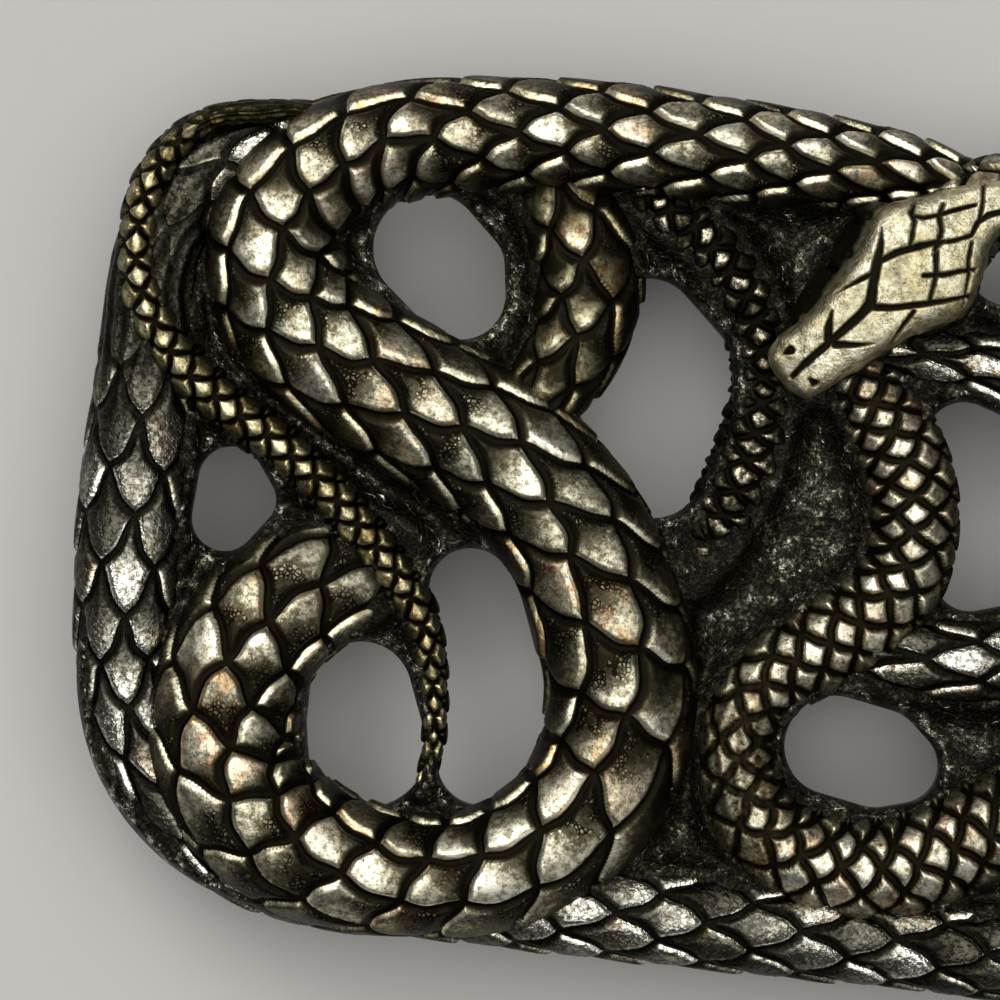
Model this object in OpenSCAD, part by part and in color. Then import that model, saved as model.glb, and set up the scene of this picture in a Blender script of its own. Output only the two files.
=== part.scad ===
// Snake hook buckle: a pierced casting of intertwined snakes with a belt loop and a hook stud on
// its back. It lies face up. X runs along its length, Y towards its top edge, Z out of its front,
// and the origin is under its middle, on the surface that the loop and the stud rest on.

/* [Casting] */
// Length of the buckle from end to end
buckle_l = 90; // [80:1:100]
// Thickness of the pierced web between the snakes
web_t = 2.0; // [1.6:0.1:2.4]
// Height of a scale's crest above the grooves round it
scale_rise = 0.6; // [0.3:0.05:0.8]
// Depth of the step between the snakes' undersides and the back of the web
foot_z = 0.5; // [0.3:0.1:0.8]

/* [Belt loop] */
// Width of the belt that the loop takes
belt_w = 38; // [34:1:39]
// Room for the belt between the loop's bar and the back of the web
belt_gap = 4.8; // [4.4:0.1:6]
// Diameter of the loop's rod
rod_d = 3.2; // [2.6:0.1:3.4]
// Radius of the bend between the bar and a leg, at the rod's middle
rod_bend = 3.0; // [2.5:0.1:4]

/* [Hook stud] */
// Diameter of the stud that goes through a hole in the belt
stud_d = 4.0; // [3.6:0.1:4.6]
// Diameter of the spigot on the stud that stands in its socket
spigot_d = 3.2; // [2.4:0.1:3.2]
// Radius of the rounded edge at the stud's tip
stud_round = 1.0; // [0.5:0.1:1.5]

/* [Bosses] */
// Height of the bosses on the back that hold the loop and the stud
boss_h = 1.2; // [0.8:0.1:1.6]
// Wall of a boss round its socket
boss_wall = 1.3; // [1:0.1:2]
// Gap round a post in its socket
socket_gap = 0.1; // [0.05:0.05:0.2]

/* [Hidden] */

// Scale from the tables, which are drawn for a buckle 90 mm long
k = buckle_l / 90;
// Height of the back of the web above the surface that the buckle lies on
back_z = rod_d + belt_gap;
// How far a socket goes into the web, past its boss
socket_in = 1.0;
// Places of the stud and of the loop's bar along X
stud_x = -25 * k;
loop_x = 28.5 * k;
// Distance between the middles of the loop's legs
leg_gap = belt_w + 2 + rod_d;
// Points between two rows of a table when a path is worked out
fine = 8;
// Share of a snake's height at which its rounded back begins
shoulder = 0.3;
// Spacing of the head's sections, as twice the distance between them
head_step = 2.4;
// How far a cutting shape runs past the face that it cuts
past = 1;

// Columns of the snakes: x, y, half width, height above the back of the web, length of a scale.
// The big snake: it starts under the neck at the upper right, runs left along the top edge, turns,
// crosses the left half on a slant and coils round at the bottom
BIG = [
    [19.2, 24.9, 1.6, 4.4, 6.4],
    [15.9, 26.2, 2.2, 5.3, 6.4],
    [11.8, 27.0, 2.7, 6.2, 6.4],
    [7.5, 27.2, 3.1, 6.7, 6.4],
    [2.4, 27.3, 3.5, 7.0, 6.4],
    [-3.3, 27.3, 3.7, 7.2, 6.4],
    [-9.7, 27.3, 3.9, 7.3, 6.4],
    [-17.6, 26.7, 4.0, 7.4, 6.4],
    [-24.0, 25.7, 4.1, 7.5, 6.4],
    [-29.1, 23.6, 4.4, 7.5, 6.4],
    [-32.4, 20.4, 4.7, 7.5, 6.4],
    [-32.9, 16.4, 4.9, 7.6, 6.4],
    [-30.6, 12.1, 5.1, 7.7, 6.8],
    [-26.6, 9.3, 5.2, 7.9, 7.2],
    [-21.6, 7.0, 5.3, 7.9, 7.2],
    [-16.7, 4.8, 5.3, 7.9, 7.2],
    [-12.1, 1.8, 5.3, 7.9, 7.6],
    [-8.5, -2.3, 5.3, 7.9, 8.2],
    [-6.2, -7.0, 5.4, 7.9, 8.6],
    [-4.8, -11.9, 5.3, 7.9, 8.6],
    [-5.1, -17.3, 5.1, 7.7, 8.6],
    [-7.5, -21.9, 4.9, 7.6, 8.6],
    [-11.8, -25.3, 4.6, 7.5, 8.6],
    [-17.0, -26.7, 4.3, 7.5, 8.2],
    [-22.7, -26.5, 4.6, 7.6, 7.6],
    [-28.0, -24.7, 5.1, 7.7, 7.2],
    [-32.0, -20.9, 5.3, 7.7, 7.2],
    [-33.1, -16.0, 5.3, 7.6, 7.2],
    [-31.9, -11.5, 5.1, 7.0, 7.2],
    [-29.0, -8.0, 4.9, 6.2, 7.2],
    [-26.0, -6.1, 4.4, 4.9, 7.2],
    [-23.4, -4.7, 3.8, 3.7, 7.2]
];
// The left half of the snake that makes the frame, from the middle of the top to that of the bottom
FRAME = [
    [0, 26.0, 1.8, 2.6, 6.8],
    [-12.0, 26.0, 1.8, 2.6, 6.8],
    [-22.0, 25.5, 2.3, 3.7, 6.8],
    [-29.6, 24.4, 3.4, 4.8, 6.8],
    [-35.2, 23.6, 3.4, 4.9, 6.8],
    [-39.2, 20.4, 3.4, 4.9, 6.8],
    [-41.0, 15.3, 3.4, 4.8, 6.8],
    [-41.1, 9.4, 3.6, 4.8, 6.8],
    [-41.0, 3.7, 3.9, 4.8, 6.8],
    [-41.0, -2.1, 4.0, 4.8, 6.8],
    [-40.8, -7.8, 3.9, 4.8, 6.8],
    [-40.4, -13.5, 3.6, 4.6, 6.8],
    [-39.0, -18.7, 3.3, 4.4, 6.8],
    [-35.6, -23.4, 3.1, 4.2, 6.8],
    [-30.7, -26.7, 3.2, 4.2, 6.8],
    [-24.7, -28.0, 3.3, 4.2, 6.8],
    [-17.6, -27.8, 3.4, 4.2, 6.8],
    [-10.4, -27.8, 3.5, 4.4, 6.8],
    [0, -27.8, 3.5, 4.6, 6.8]
];
// The big snake's thin tail: round the upper left corner, down over the web and onto its bridge
TAIL = [
    [-31.5, 26.8, 1.0, 4.9, 2.2],
    [-36.6, 26.1, 1.1, 5.3, 2.2],
    [-40.0, 24.2, 1.3, 5.5, 2.2],
    [-42.0, 20.9, 1.4, 5.7, 2.2],
    [-42.6, 17.5, 1.4, 5.8, 2.2],
    [-42.2, 13.7, 1.6, 5.9, 2.2],
    [-40.7, 10.6, 1.7, 5.9, 2.2],
    [-38.3, 7.7, 1.8, 5.7, 2.2],
    [-35.1, 5.3, 1.8, 5.5, 2.2],
    [-31.3, 3.1, 1.7, 5.4, 2.2],
    [-27.9, 0.6, 1.6, 5.6, 2.2],
    [-25.1, -1.9, 1.6, 5.8, 2.2],
    [-22.4, -4.6, 1.5, 5.5, 2.2],
    [-20.2, -7.5, 1.4, 4.9, 2.2],
    [-18.8, -10.6, 1.1, 4.4, 2.2],
    [-18.1, -14.1, 0.9, 4.0, 2.2],
    [-17.8, -17.3, 0.7, 3.5, 2.2],
    [-18.3, -20.9, 0.5, 2.8, 2.2]
];
// The big snake's body where it shows again under its top run
UNDER = [
    [-14.2, 26.2, 3.2, 3.5, 6.0],
    [-12.6, 22.6, 3.6, 4.6, 6.0],
    [-10.9, 19.4, 3.9, 5.3, 6.0],
    [-10.2, 16.3, 3.9, 5.6, 6.0],
    [-10.5, 13.4, 3.6, 5.6, 6.0],
    [-11.6, 10.5, 3.3, 5.3, 6.0],
    [-13.1, 8.0, 2.9, 4.8, 6.0]
];
// The small dark snake between the big one and the head
SMALL = [
    [-7.4, 24.4, 2.0, 3.7, 2.6],
    [-4.8, 22.4, 2.1, 3.9, 2.6],
    [-2.0, 20.7, 2.3, 4.0, 2.6],
    [0.5, 18.1, 2.3, 4.0, 2.6],
    [2.3, 14.7, 2.3, 3.9, 2.6],
    [3.3, 10.8, 2.4, 3.7, 2.6],
    [2.9, 6.8, 2.6, 3.9, 2.6],
    [1.9, 3.1, 2.6, 3.9, 2.6],
    [0.5, -0.4, 2.4, 3.3, 2.6],
    [-1.0, -3.4, 1.8, 2.0, 2.6]
];
// The pebble-scaled snake, from under its own head, round the lower right and back up to its neck
PEBBLE = [
    [9.0, 13.2, 2.9, 4.0, 2.4],
    [11.5, 9.9, 3.1, 4.9, 2.4],
    [13.6, 6.5, 3.3, 5.6, 2.4],
    [14.7, 2.7, 3.3, 6.0, 2.4],
    [14.4, -1.3, 3.3, 6.2, 2.6],
    [12.3, -4.7, 3.3, 6.2, 2.6],
    [9.0, -7.5, 3.3, 5.8, 2.6],
    [5.7, -10.1, 3.1, 5.5, 2.6],
    [4.0, -13.9, 3.1, 5.5, 2.9],
    [4.7, -18.1, 3.3, 5.8, 2.9],
    [7.2, -21.4, 3.4, 6.2, 2.9],
    [11.3, -22.8, 3.6, 6.5, 2.9],
    [15.6, -22.6, 3.7, 6.7, 2.9],
    [19.7, -20.8, 3.7, 6.7, 2.9],
    [24.0, -18.2, 3.7, 6.7, 2.9],
    [28.4, -15.0, 3.7, 6.7, 3.2],
    [31.6, -10.8, 3.7, 6.7, 3.2],
    [33.4, -5.6, 3.7, 6.7, 3.2],
    [34.3, 0.4, 3.7, 6.7, 3.2],
    [35.1, 6.4, 3.7, 6.7, 3.2],
    [35.6, 12.4, 3.6, 6.7, 3.2],
    [34.6, 18.2, 3.5, 6.7, 3.2],
    [31.6, 23.0, 3.4, 6.7, 3.2],
    [27.2, 26.2, 3.3, 6.7, 3.2],
    [22.8, 27.0, 3.2, 6.9, 3.2],
    [19.0, 26.0, 3.2, 7.0, 3.2],
    [16.4, 24.4, 3.4, 7.3, 3.2],
    [14.2, 22.2, 3.8, 7.4, 3.2]
];
// The low loop at the right, which passes under the pebble-scaled snake twice
LOW = [
    [10.5, 14.6, 2.7, 4.0, 6.0],
    [15.3, 14.2, 2.7, 4.4, 6.0],
    [20.4, 13.6, 2.7, 4.6, 6.0],
    [25.2, 11.6, 2.9, 4.8, 6.0],
    [28.2, 7.4, 3.1, 4.8, 6.0],
    [28.8, 2.2, 3.2, 4.8, 6.0],
    [27.2, -3.0, 3.3, 4.8, 6.0],
    [23.2, -6.6, 3.4, 4.8, 6.0],
    [17.5, -7.4, 3.2, 4.6, 6.0],
    [11.8, -7.3, 2.9, 4.2, 6.0]
];
// The head, from its snout to its neck: x, y, half width, height above the back of the web
HEAD = [
    [4.2, 10.3, 0.9, 5.6],
    [4.6, 10.8, 1.9, 6.5],
    [5.5, 11.7, 2.4, 7.0],
    [7.2, 13.6, 2.7, 7.7],
    [9.2, 15.9, 3.6, 8.3],
    [11.3, 18.3, 4.8, 8.6],
    [13.0, 20.2, 5.2, 8.7],
    [14.4, 21.9, 4.6, 8.4],
    [15.7, 23.4, 3.6, 7.8]
];
// Openings through the web: the round hull of circles, each x, y, radius
OPENINGS = [
    [[-21.9, 18.2, 4.0], [-19.3, 15.1, 3.3], [-18.9, 17.3, 2.6]],
    [[-5.4, 14.4, 3.3], [-2.8, 11.6, 3.6], [-2.0, 8.5, 3.1], [-4.1, 4.1, 3.6], [-6.9, 8.5, 3.1]],
    [[-34.3, 0.1, 2.4], [-34.5, -2.7, 2.4], [-32.9, -1.2, 2.0]],
    [[-23.4, -14.2, 3.7], [-22.5, -18.1, 4.3], [-23.7, -16.4, 3.4]],
    [[-16.3, -6.0, 3.0], [-13.8, -9.3, 3.3], [-13.0, -13.5, 3.4], [-14.3, -18.3, 3.1]],
    [[10.9, -14.4, 3.6], [14.1, -15.0, 3.6], [15.9, -15.4, 2.7]],
    [[18.0, 8.2, 3.0], [22.8, 7.0, 2.6], [23.4, 0.2, 2.8], [19.4, -1.0, 2.8]],
    [[19.3, 20.8, 2.3], [23.0, 20.0, 2.3]],
    [[35.6, -16.2, 1.6], [34.6, -20.2, 1.8]]
];
// Round corners of the web's outline: x, y, radius
CORNERS = [
    [-26.9, -13.4, 17.0],
    [-31.0, 13.6, 13.2],
    [26.9, -13.4, 17.0],
    [31.0, 13.6, 13.2]
];

// A table's rows with their places and widths at the buckle's size
function sized(rows) = [for (r = rows) [r[0] * k, r[1] * k, r[2] * k, r[3], r[4] * k]];

// A row between rows b and c on the smooth curve through four rows, at a share t of the way
function between(a, b, c, d, t) =
    0.5 * (2 * b + (c - a) * t + (2 * a - 5 * b + 4 * c - d) * t * t
        + (3 * b - a - 3 * c + d) * t * t * t);

// All rows of the smooth curve through a table, open or closed into a ring
function smooth(rows, closed) =
    let (n = len(rows), last = closed ? n : n - 1)
    [for (i = [0 : last - 1], j = [0 : fine - 1])
        let (
            a = closed ? rows[(i + n - 1) % n] : rows[max(i - 1, 0)],
            d = closed ? rows[(i + 2) % n] : rows[min(i + 2, n - 1)]
        )
        between(a, rows[i], rows[(i + 1) % n], d, j / fine),
        closed ? rows[0] : rows[n - 1]];

// Running count of scales along a smooth curve, at each of its rows
function scale_count(p) =
    [for (
        i = 0, u = 0;
        i < len(p);
        u = u + (i + 1 < len(p) ? norm([p[i + 1].x - p[i].x, p[i + 1].y - p[i].y]) / p[i][4] : 0),
        i = i + 1
    ) u];

// Rows of a smooth curve, half a scale apart
function stations(p) =
    let (
        u = scale_count(p),
        total = u[len(u) - 1],
        n = 2 * round(total),
        columns = [for (c = [0 : 3]) [for (i = [0 : len(p) - 1]) [u[i], p[i][c]]]]
    )
    [for (i = [0 : n]) [for (c = [0 : 3]) lookup(total * i / n, columns[c])]];

// Direction across a path at a row, from the rows on either side of it
function across(before, after) =
    let (d = [after.x - before.x, after.y - before.y]) [-d.y, d.x] / norm(d);

// Points of one cross-section: an arch from side to side, then the two feet.
// Every second point stands out by the rise, so that the faces between form scales
function section(row, side, arcs, odd, rise) = [
    for (j = [0 : arcs + 2])
        let (
            a = 180 * j / arcs,
            out = (j + odd) % 2 == 1 ? rise * sin(a) : 0,
            reach = j <= arcs ? (row[2] + out) * cos(a) : (j == arcs + 1 ? -row[2] : row[2]),
            rest_z = shoulder * row[3],
            z = j <= arcs ? rest_z + (row[3] - rest_z + out) * sin(a) : foot_z
        )
        [row.x + side.x * reach, row.y + side.y * reach, z]
];

// A four-sided face between two sections, split along the line between its low corners
function scale_face(a, b, c, d, low_first) =
    low_first ? [[a, b, c], [a, c, d]] : [[a, b, d], [b, c, d]];

// A snake's body: sections along a path, with a scale for every second section and point
module body(rows, arcs, rise, closed = false) {
    path = stations(smooth(sized(rows), closed));
    n = closed ? len(path) - 1 : len(path);
    m = arcs + 3;
    points = [
        for (i = [0 : n - 1])
            let (
                before = closed ? path[(i + n - 1) % n] : path[max(i - 1, 0)],
                after = closed ? path[(i + 1) % n] : path[min(i + 1, n - 1)]
            )
            each section(path[i], across(before, after), arcs, i % 2, rise)
    ];
    skin = [
        for (i = [0 : closed ? n - 1 : n - 2], j = [0 : m - 1])
            let (
                near = i * m,
                far = ((i + 1) % n) * m,
                next = (j + 1) % m
            )
            each scale_face(near + j, far + j, far + next, near + next, (i + j) % 2 == 0)
    ];
    ends = closed ? [] : [[for (j = [0 : m - 1]) j], [for (j = [m - 1 : -1 : 0]) (n - 1) * m + j]];
    polyhedron(points = points, faces = concat(skin, ends), convexity = 10);
}

// The whole ring of the frame: its left half, then the same half mirrored
function ring(half) = concat(
    half,
    [for (i = [len(half) - 2 : -1 : 1]) [-half[i][0], half[i][1], half[i][2], half[i][3], half[i][4]]]
);

// The pierced web, with a rounded rectangle for its outline
module web() {
    linear_extrude(web_t)
        difference() {
            hull()
                for (c = CORNERS)
                    translate([c[0] * k, c[1] * k])
                        circle(c[2] * k, $fn = 48);
            for (opening = OPENINGS)
                hull()
                    for (c = opening)
                        translate([c[0] * k, c[1] * k])
                            circle(c[2] * k, $fn = 32);
        }
}

// The head: a wedge with rounded edges, from its snout to its jaws and its neck
module head() {
    body([for (r = HEAD) [r[0], r[1], r[2], r[3], head_step]], arcs = 10, rise = 0);
}

// Places on the back that carry a post: x, y, diameter of the post
function posts() = [
    [stud_x, 0, spigot_d],
    [loop_x, leg_gap / 2, rod_d],
    [loop_x, -leg_gap / 2, rod_d]
];

module casting() {
    color("#9a8f78")
        translate([0, 0, back_z])
            difference() {
                union() {
                    web();
                    body(BIG, arcs = 8, rise = scale_rise);
                    body(ring(FRAME), arcs = 6, rise = 0.8 * scale_rise, closed = true);
                    body(TAIL, arcs = 4, rise = 0.5 * scale_rise);
                    body(UNDER, arcs = 6, rise = scale_rise);
                    body(SMALL, arcs = 6, rise = 0.7 * scale_rise);
                    body(PEBBLE, arcs = 6, rise = 0.8 * scale_rise);
                    body(LOW, arcs = 6, rise = scale_rise);
                    head();
                    for (p = posts())
                        translate([p[0], p[1], -boss_h])
                            cylinder(h = boss_h + web_t / 2, d = p[2] + 2 * boss_wall, $fn = 32);
                }
                for (p = posts())
                    translate([p[0], p[1], -boss_h - past])
                        cylinder(h = boss_h + past + socket_in, d = p[2] + 2 * socket_gap, $fn = 32);
            }
}

// The loop: a bar along Y with a bent leg at each end, which stands in its boss
module belt_loop() {
    bar = leg_gap - 2 * rod_bend;
    leg_z = rod_d / 2 + rod_bend;
    leg_top = back_z + socket_in - socket_gap;
    color("#8c8674")
        translate([loop_x, 0, 0]) {
            translate([0, bar / 2, rod_d / 2])
                rotate([90, 0, 0])
                    cylinder(h = bar, d = rod_d, $fn = 48);
            for (side = [-1, 1]) {
                translate([0, side * leg_gap / 2, leg_z])
                    cylinder(h = leg_top - leg_z, d = rod_d, $fn = 48);
                translate([0, side * bar / 2, leg_z])
                    rotate([0, 90, 0])
                        rotate([0, 0, side > 0 ? 0 : -90])
                            rotate_extrude(angle = 90, $fn = 96)
                                translate([rod_bend, 0])
                                    circle(d = rod_d, $fn = 48);
            }
        }
}

// The stud: a plain post with a rounded tip, and a spigot above its shoulder in the boss
module hook_stud() {
    shoulder_z = back_z - boss_h - socket_gap;
    spigot_top = back_z + socket_in - socket_gap;
    color("#8c8674")
        translate([stud_x, 0, 0])
            rotate_extrude($fn = 64) {
                translate([0, stud_round])
                    square([stud_d / 2, shoulder_z - stud_round]);
                square([stud_d / 2 - stud_round, stud_round]);
                translate([stud_d / 2 - stud_round, stud_round])
                    intersection() {
                        circle(stud_round, $fn = 48);
                        translate([0, -stud_round])
                            square(stud_round);
                    }
                translate([0, shoulder_z])
                    square([spigot_d / 2, spigot_top - shoulder_z]);
            }
}

casting();
belt_loop();
hook_stud();
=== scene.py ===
# %% [markdown]
# This scene dresses a snake hook buckle. The real one is a single casting in white metal: snakes that
# twine over a pierced web, with a belt loop and a hook stud on the back. The CAD part brings the sizes,
# and each snake is built again here as a fine surface that carries its scales.

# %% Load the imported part
import math
import bpy
import numpy as np
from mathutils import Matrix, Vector, geometry


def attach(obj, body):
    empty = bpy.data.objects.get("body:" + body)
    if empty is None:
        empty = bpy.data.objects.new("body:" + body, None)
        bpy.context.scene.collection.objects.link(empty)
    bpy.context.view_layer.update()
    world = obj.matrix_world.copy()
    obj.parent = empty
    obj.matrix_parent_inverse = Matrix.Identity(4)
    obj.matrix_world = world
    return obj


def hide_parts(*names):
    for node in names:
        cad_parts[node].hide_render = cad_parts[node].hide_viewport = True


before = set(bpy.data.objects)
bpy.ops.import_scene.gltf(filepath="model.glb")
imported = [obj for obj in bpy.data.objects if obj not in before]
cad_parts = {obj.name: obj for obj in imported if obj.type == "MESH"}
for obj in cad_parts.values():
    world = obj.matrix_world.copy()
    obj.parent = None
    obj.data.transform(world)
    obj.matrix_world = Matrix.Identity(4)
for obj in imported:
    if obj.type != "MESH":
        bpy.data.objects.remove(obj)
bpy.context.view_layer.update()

MM = 0.001
# In mm: how high the web's back lies over the floor, how thick the web is, and how far over its back the
# bodies' feet end inside it. The last is the share of a body's height at which its arch starts
BACK_Z = 8.0
WEB_T = 2.0
FOOT_Z = 0.5
SHOULDER = 0.3
print("nodes", sorted(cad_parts))

# %% [markdown]
# A photograph taken from straight above at close range is best matched by a long lens. The buckle is
# turned by six degrees in the picture, so the camera is turned and the part is left square to its axes.

# %% Camera
PHOTO_WIDTH = 1000
PX_PER_MM = 14.0
TURN = math.radians(6.0)
LENS = 200.0
SENSOR = 36.0
# In mm: the height of the scales' crests, where the picture's scale holds, and the place on the buckle
# that the middle of the picture shows
FOCUS_Z = 13.0
VIEW_CENTRE = (-14.87, 0.66)

width_mm = PHOTO_WIDTH / PX_PER_MM
distance = width_mm * LENS / SENSOR
camera_data = bpy.data.cameras.new("photo_camera")
camera_data.lens = LENS
camera_data.sensor_width = SENSOR
camera_data.clip_start = 0.01
camera_data.clip_end = 20
camera = bpy.data.objects.new("photo_camera", camera_data)
camera.location = (VIEW_CENTRE[0] * MM, VIEW_CENTRE[1] * MM, (FOCUS_Z + distance) * MM)
camera.rotation_euler = (0, 0, TURN)
bpy.context.scene.collection.objects.link(camera)
bpy.context.scene.camera = camera
print("camera", round(distance), "mm above the scales")

# %% [markdown]
# The snakes are drawn as paths seen from above, with a half width and a height at each row, the same
# ones that the CAD part uses. A tube along a curve could follow them too, but plain tables let the width,
# the height and the size of the scales change all along a body.

# %% The snakes' paths
# Columns: x, y, half width, height above the back of the web. The big snake has three more: its count
# of grooves that fall to the right of its travel, of grooves that climb to the left, and their lean
BIG = [
    (19.2, 24.9, 1.6, 4.4, -0.4, 0.1, 3.4),
    (15.9, 26.2, 2.2, 5.3, 0.3, 0.5, 3.4),
    (11.8, 27.0, 2.7, 6.2, 1.1, 1.05, 3.4),
    (7.5, 27.2, 3.1, 6.7, 1.9, 1.6, 3.4),
    (2.4, 27.3, 3.5, 7.0, 2.8, 2.3, 3.4),
    (-3.3, 27.3, 3.7, 7.2, 3.7, 3.2, 3.4),
    (-9.7, 27.3, 3.9, 7.3, 4.5, 4.2, 3.4),
    (-17.6, 26.7, 4.0, 7.4, 5.6, 5.7, 3.0),
    (-24.0, 25.7, 4.1, 7.5, 6.4, 7.0, 2.4),
    (-29.1, 23.6, 4.4, 7.5, 6.2, 8.7, 0.9),
    (-32.4, 20.4, 4.7, 7.5, 6.05, 9.95, 1.5),
    (-32.9, 16.4, 4.9, 7.6, 6.35, 10.95, 2.8),
    (-30.6, 12.1, 5.1, 7.7, 7.15, 11.9, 3.6),
    (-26.6, 9.3, 5.2, 7.9, 7.95, 12.6, 4.0),
    (-21.6, 7.0, 5.3, 7.9, 8.8, 13.1, 4.2),
    (-16.7, 4.8, 5.3, 7.9, 9.65, 13.65, 4.2),
    (-12.1, 1.8, 5.3, 7.9, 10.4, 14.25, 3.9),
    (-8.5, -2.3, 5.3, 7.9, 10.75, 15.2, 3.2),
    (-6.2, -7.0, 5.4, 7.9, 10.9, 16.2, 2.4),
    (-4.8, -11.9, 5.3, 7.9, 11.3, 17.15, 1.4),
    (-5.1, -17.3, 5.1, 7.7, 11.6, 18.15, 1.5),
    (-7.5, -21.9, 4.9, 7.6, 11.75, 19.0, 1.7),
    (-11.8, -25.3, 4.6, 7.5, 11.8, 20.0, 1.6),
    (-17.0, -26.7, 4.3, 7.5, 11.9, 21.25, 1.7),
    (-22.7, -26.5, 4.6, 7.6, 12.25, 22.4, 1.8),
    (-28.0, -24.7, 5.1, 7.7, 12.75, 23.55, 1.9),
    (-32.0, -20.9, 5.3, 7.7, 13.45, 24.9, 3.2),
    (-33.1, -16.0, 5.3, 7.6, 14.05, 25.9, 3.2),
    (-31.9, -11.5, 5.1, 7.0, 14.4, 26.85, 2.4),
    (-29.0, -8.0, 4.9, 6.2, 14.45, 27.85, 1.8),
    (-26.0, -6.1, 4.4, 4.9, 14.45, 28.6, 1.6),
    (-23.4, -4.7, 3.8, 3.7, 14.45, 29.25, 1.6),
]
# The left half of the frame snake, from the middle of the top to the middle of the bottom. Its corner
# is worn and wrinkled in the photo, so a last column says how clear the scales are, from 0 to 1
CORNER_CLEAR = 0.15
FRAME_HALF = [
    (0, 26.0, 1.8, 2.6),
    (-12.0, 26.0, 1.8, 2.6),
    (-22.0, 25.5, 2.3, 3.7),
    (-29.6, 24.4, 3.4, 4.8),
    (-35.2, 23.6, 3.4, 4.9),
    (-39.2, 20.4, 3.4, 4.9),
    (-41.0, 15.3, 3.4, 4.8),
    (-41.1, 9.4, 3.6, 4.8),
    (-41.0, 3.7, 3.9, 4.8),
    (-41.0, -2.1, 4.0, 4.8),
    (-40.8, -7.8, 3.9, 4.8),
    (-40.4, -13.5, 3.6, 4.6),
    (-39.0, -18.7, 3.3, 4.4),
    (-35.6, -23.4, 3.1, 4.2),
    (-30.7, -26.7, 3.2, 4.2),
    (-24.7, -28.0, 3.3, 4.2),
    (-17.6, -27.8, 3.4, 4.2),
    (-10.4, -27.8, 3.5, 4.4),
    (0, -27.8, 3.5, 4.6),
]
FRAME_CLEAR = [1, 1, 0.8, 0.8, 0.8, 0.45] + [CORNER_CLEAR] * 2 + [0.8] + [1] * 10
FRAME = [row + (clear,) for row, clear in zip(FRAME_HALF, FRAME_CLEAR)]
FRAME = FRAME + [(-x, y, w, h, 1) for x, y, w, h in FRAME_HALF[-2:0:-1]]
TAIL = [
    (-29.4, 25.6, 0.9, 4.5),
    (-31.5, 26.6, 1.0, 4.9),
    (-36.6, 26.1, 1.1, 5.3),
    (-40.0, 24.2, 1.3, 5.5),
    (-42.0, 20.9, 1.4, 5.7),
    (-42.6, 17.5, 1.4, 5.8),
    (-42.2, 13.7, 1.6, 5.9),
    (-40.7, 10.6, 1.7, 5.9),
    (-38.3, 7.7, 1.8, 5.7),
    (-35.1, 5.3, 1.8, 5.5),
    (-31.3, 3.1, 1.7, 5.4),
    (-27.9, 0.6, 1.6, 5.6),
    (-25.1, -1.9, 1.6, 5.8),
    (-22.4, -4.6, 1.5, 5.5),
    (-20.2, -7.5, 1.4, 4.9),
    (-18.8, -10.6, 1.1, 4.4),
    (-18.1, -14.1, 0.9, 4.0),
    (-17.8, -17.3, 0.7, 3.5),
    (-18.3, -20.9, 0.5, 2.8),
]
UNDER = [
    (-14.2, 26.2, 3.2, 3.5),
    (-12.6, 22.6, 3.6, 4.6),
    (-10.9, 19.4, 3.9, 5.3),
    (-10.2, 16.3, 3.9, 5.6),
    (-10.5, 13.4, 3.6, 5.6),
    (-11.6, 10.5, 3.3, 5.3),
    (-13.1, 8.0, 2.9, 4.8),
]
SMALL = [
    (-7.4, 24.4, 2.0, 3.7),
    (-4.8, 22.4, 2.1, 3.9),
    (-2.0, 20.7, 2.3, 4.0),
    (0.5, 18.1, 2.3, 4.0),
    (2.3, 14.7, 2.3, 3.9),
    (3.3, 10.8, 2.4, 3.7),
    (2.9, 6.8, 2.6, 3.9),
    (1.9, 3.1, 2.6, 3.9),
    (0.5, -0.4, 2.4, 3.3),
    (-1.0, -3.4, 1.8, 2.0),
]
PEBBLE = [
    (9.0, 13.2, 2.9, 4.0),
    (11.5, 9.9, 3.1, 4.9),
    (13.6, 6.5, 3.3, 5.6),
    (14.7, 2.7, 3.3, 6.0),
    (14.4, -1.3, 3.3, 6.2),
    (12.3, -4.7, 3.3, 6.2),
    (9.0, -7.5, 3.3, 5.8),
    (5.7, -10.1, 3.1, 5.5),
    (4.0, -13.9, 3.1, 5.5),
    (4.7, -18.1, 3.3, 5.8),
    (7.2, -21.4, 3.4, 6.2),
    (11.3, -22.8, 3.6, 6.5),
    (15.6, -22.6, 3.7, 6.7),
    (19.7, -20.8, 3.7, 6.7),
    (24.0, -18.2, 3.7, 6.7),
    (28.4, -15.0, 3.7, 6.7),
    (31.6, -10.8, 3.7, 6.7),
    (33.4, -5.6, 3.7, 6.7),
    (34.3, 0.4, 3.7, 6.7),
    (35.1, 6.4, 3.7, 6.7),
    (35.6, 12.4, 3.6, 6.7),
    (34.6, 18.2, 3.5, 6.7),
    (31.6, 23.0, 3.4, 6.7),
    (27.2, 26.2, 3.3, 6.7),
    (22.8, 27.0, 3.2, 6.9),
    (19.0, 26.0, 3.2, 7.0),
    (16.4, 24.4, 3.4, 7.3),
    (14.2, 22.2, 3.8, 7.4),
]
LOW = [
    (10.5, 14.6, 2.7, 4.0),
    (15.3, 14.2, 2.7, 4.4),
    (20.4, 13.6, 2.7, 4.6),
    (25.2, 11.6, 2.9, 4.8),
    (28.2, 7.4, 3.1, 4.8),
    (28.8, 2.2, 3.2, 4.8),
    (27.2, -3.0, 3.3, 4.8),
    (23.2, -6.6, 3.4, 4.8),
    (17.5, -7.4, 3.2, 4.6),
    (11.8, -7.3, 2.9, 4.2),
]
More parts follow.
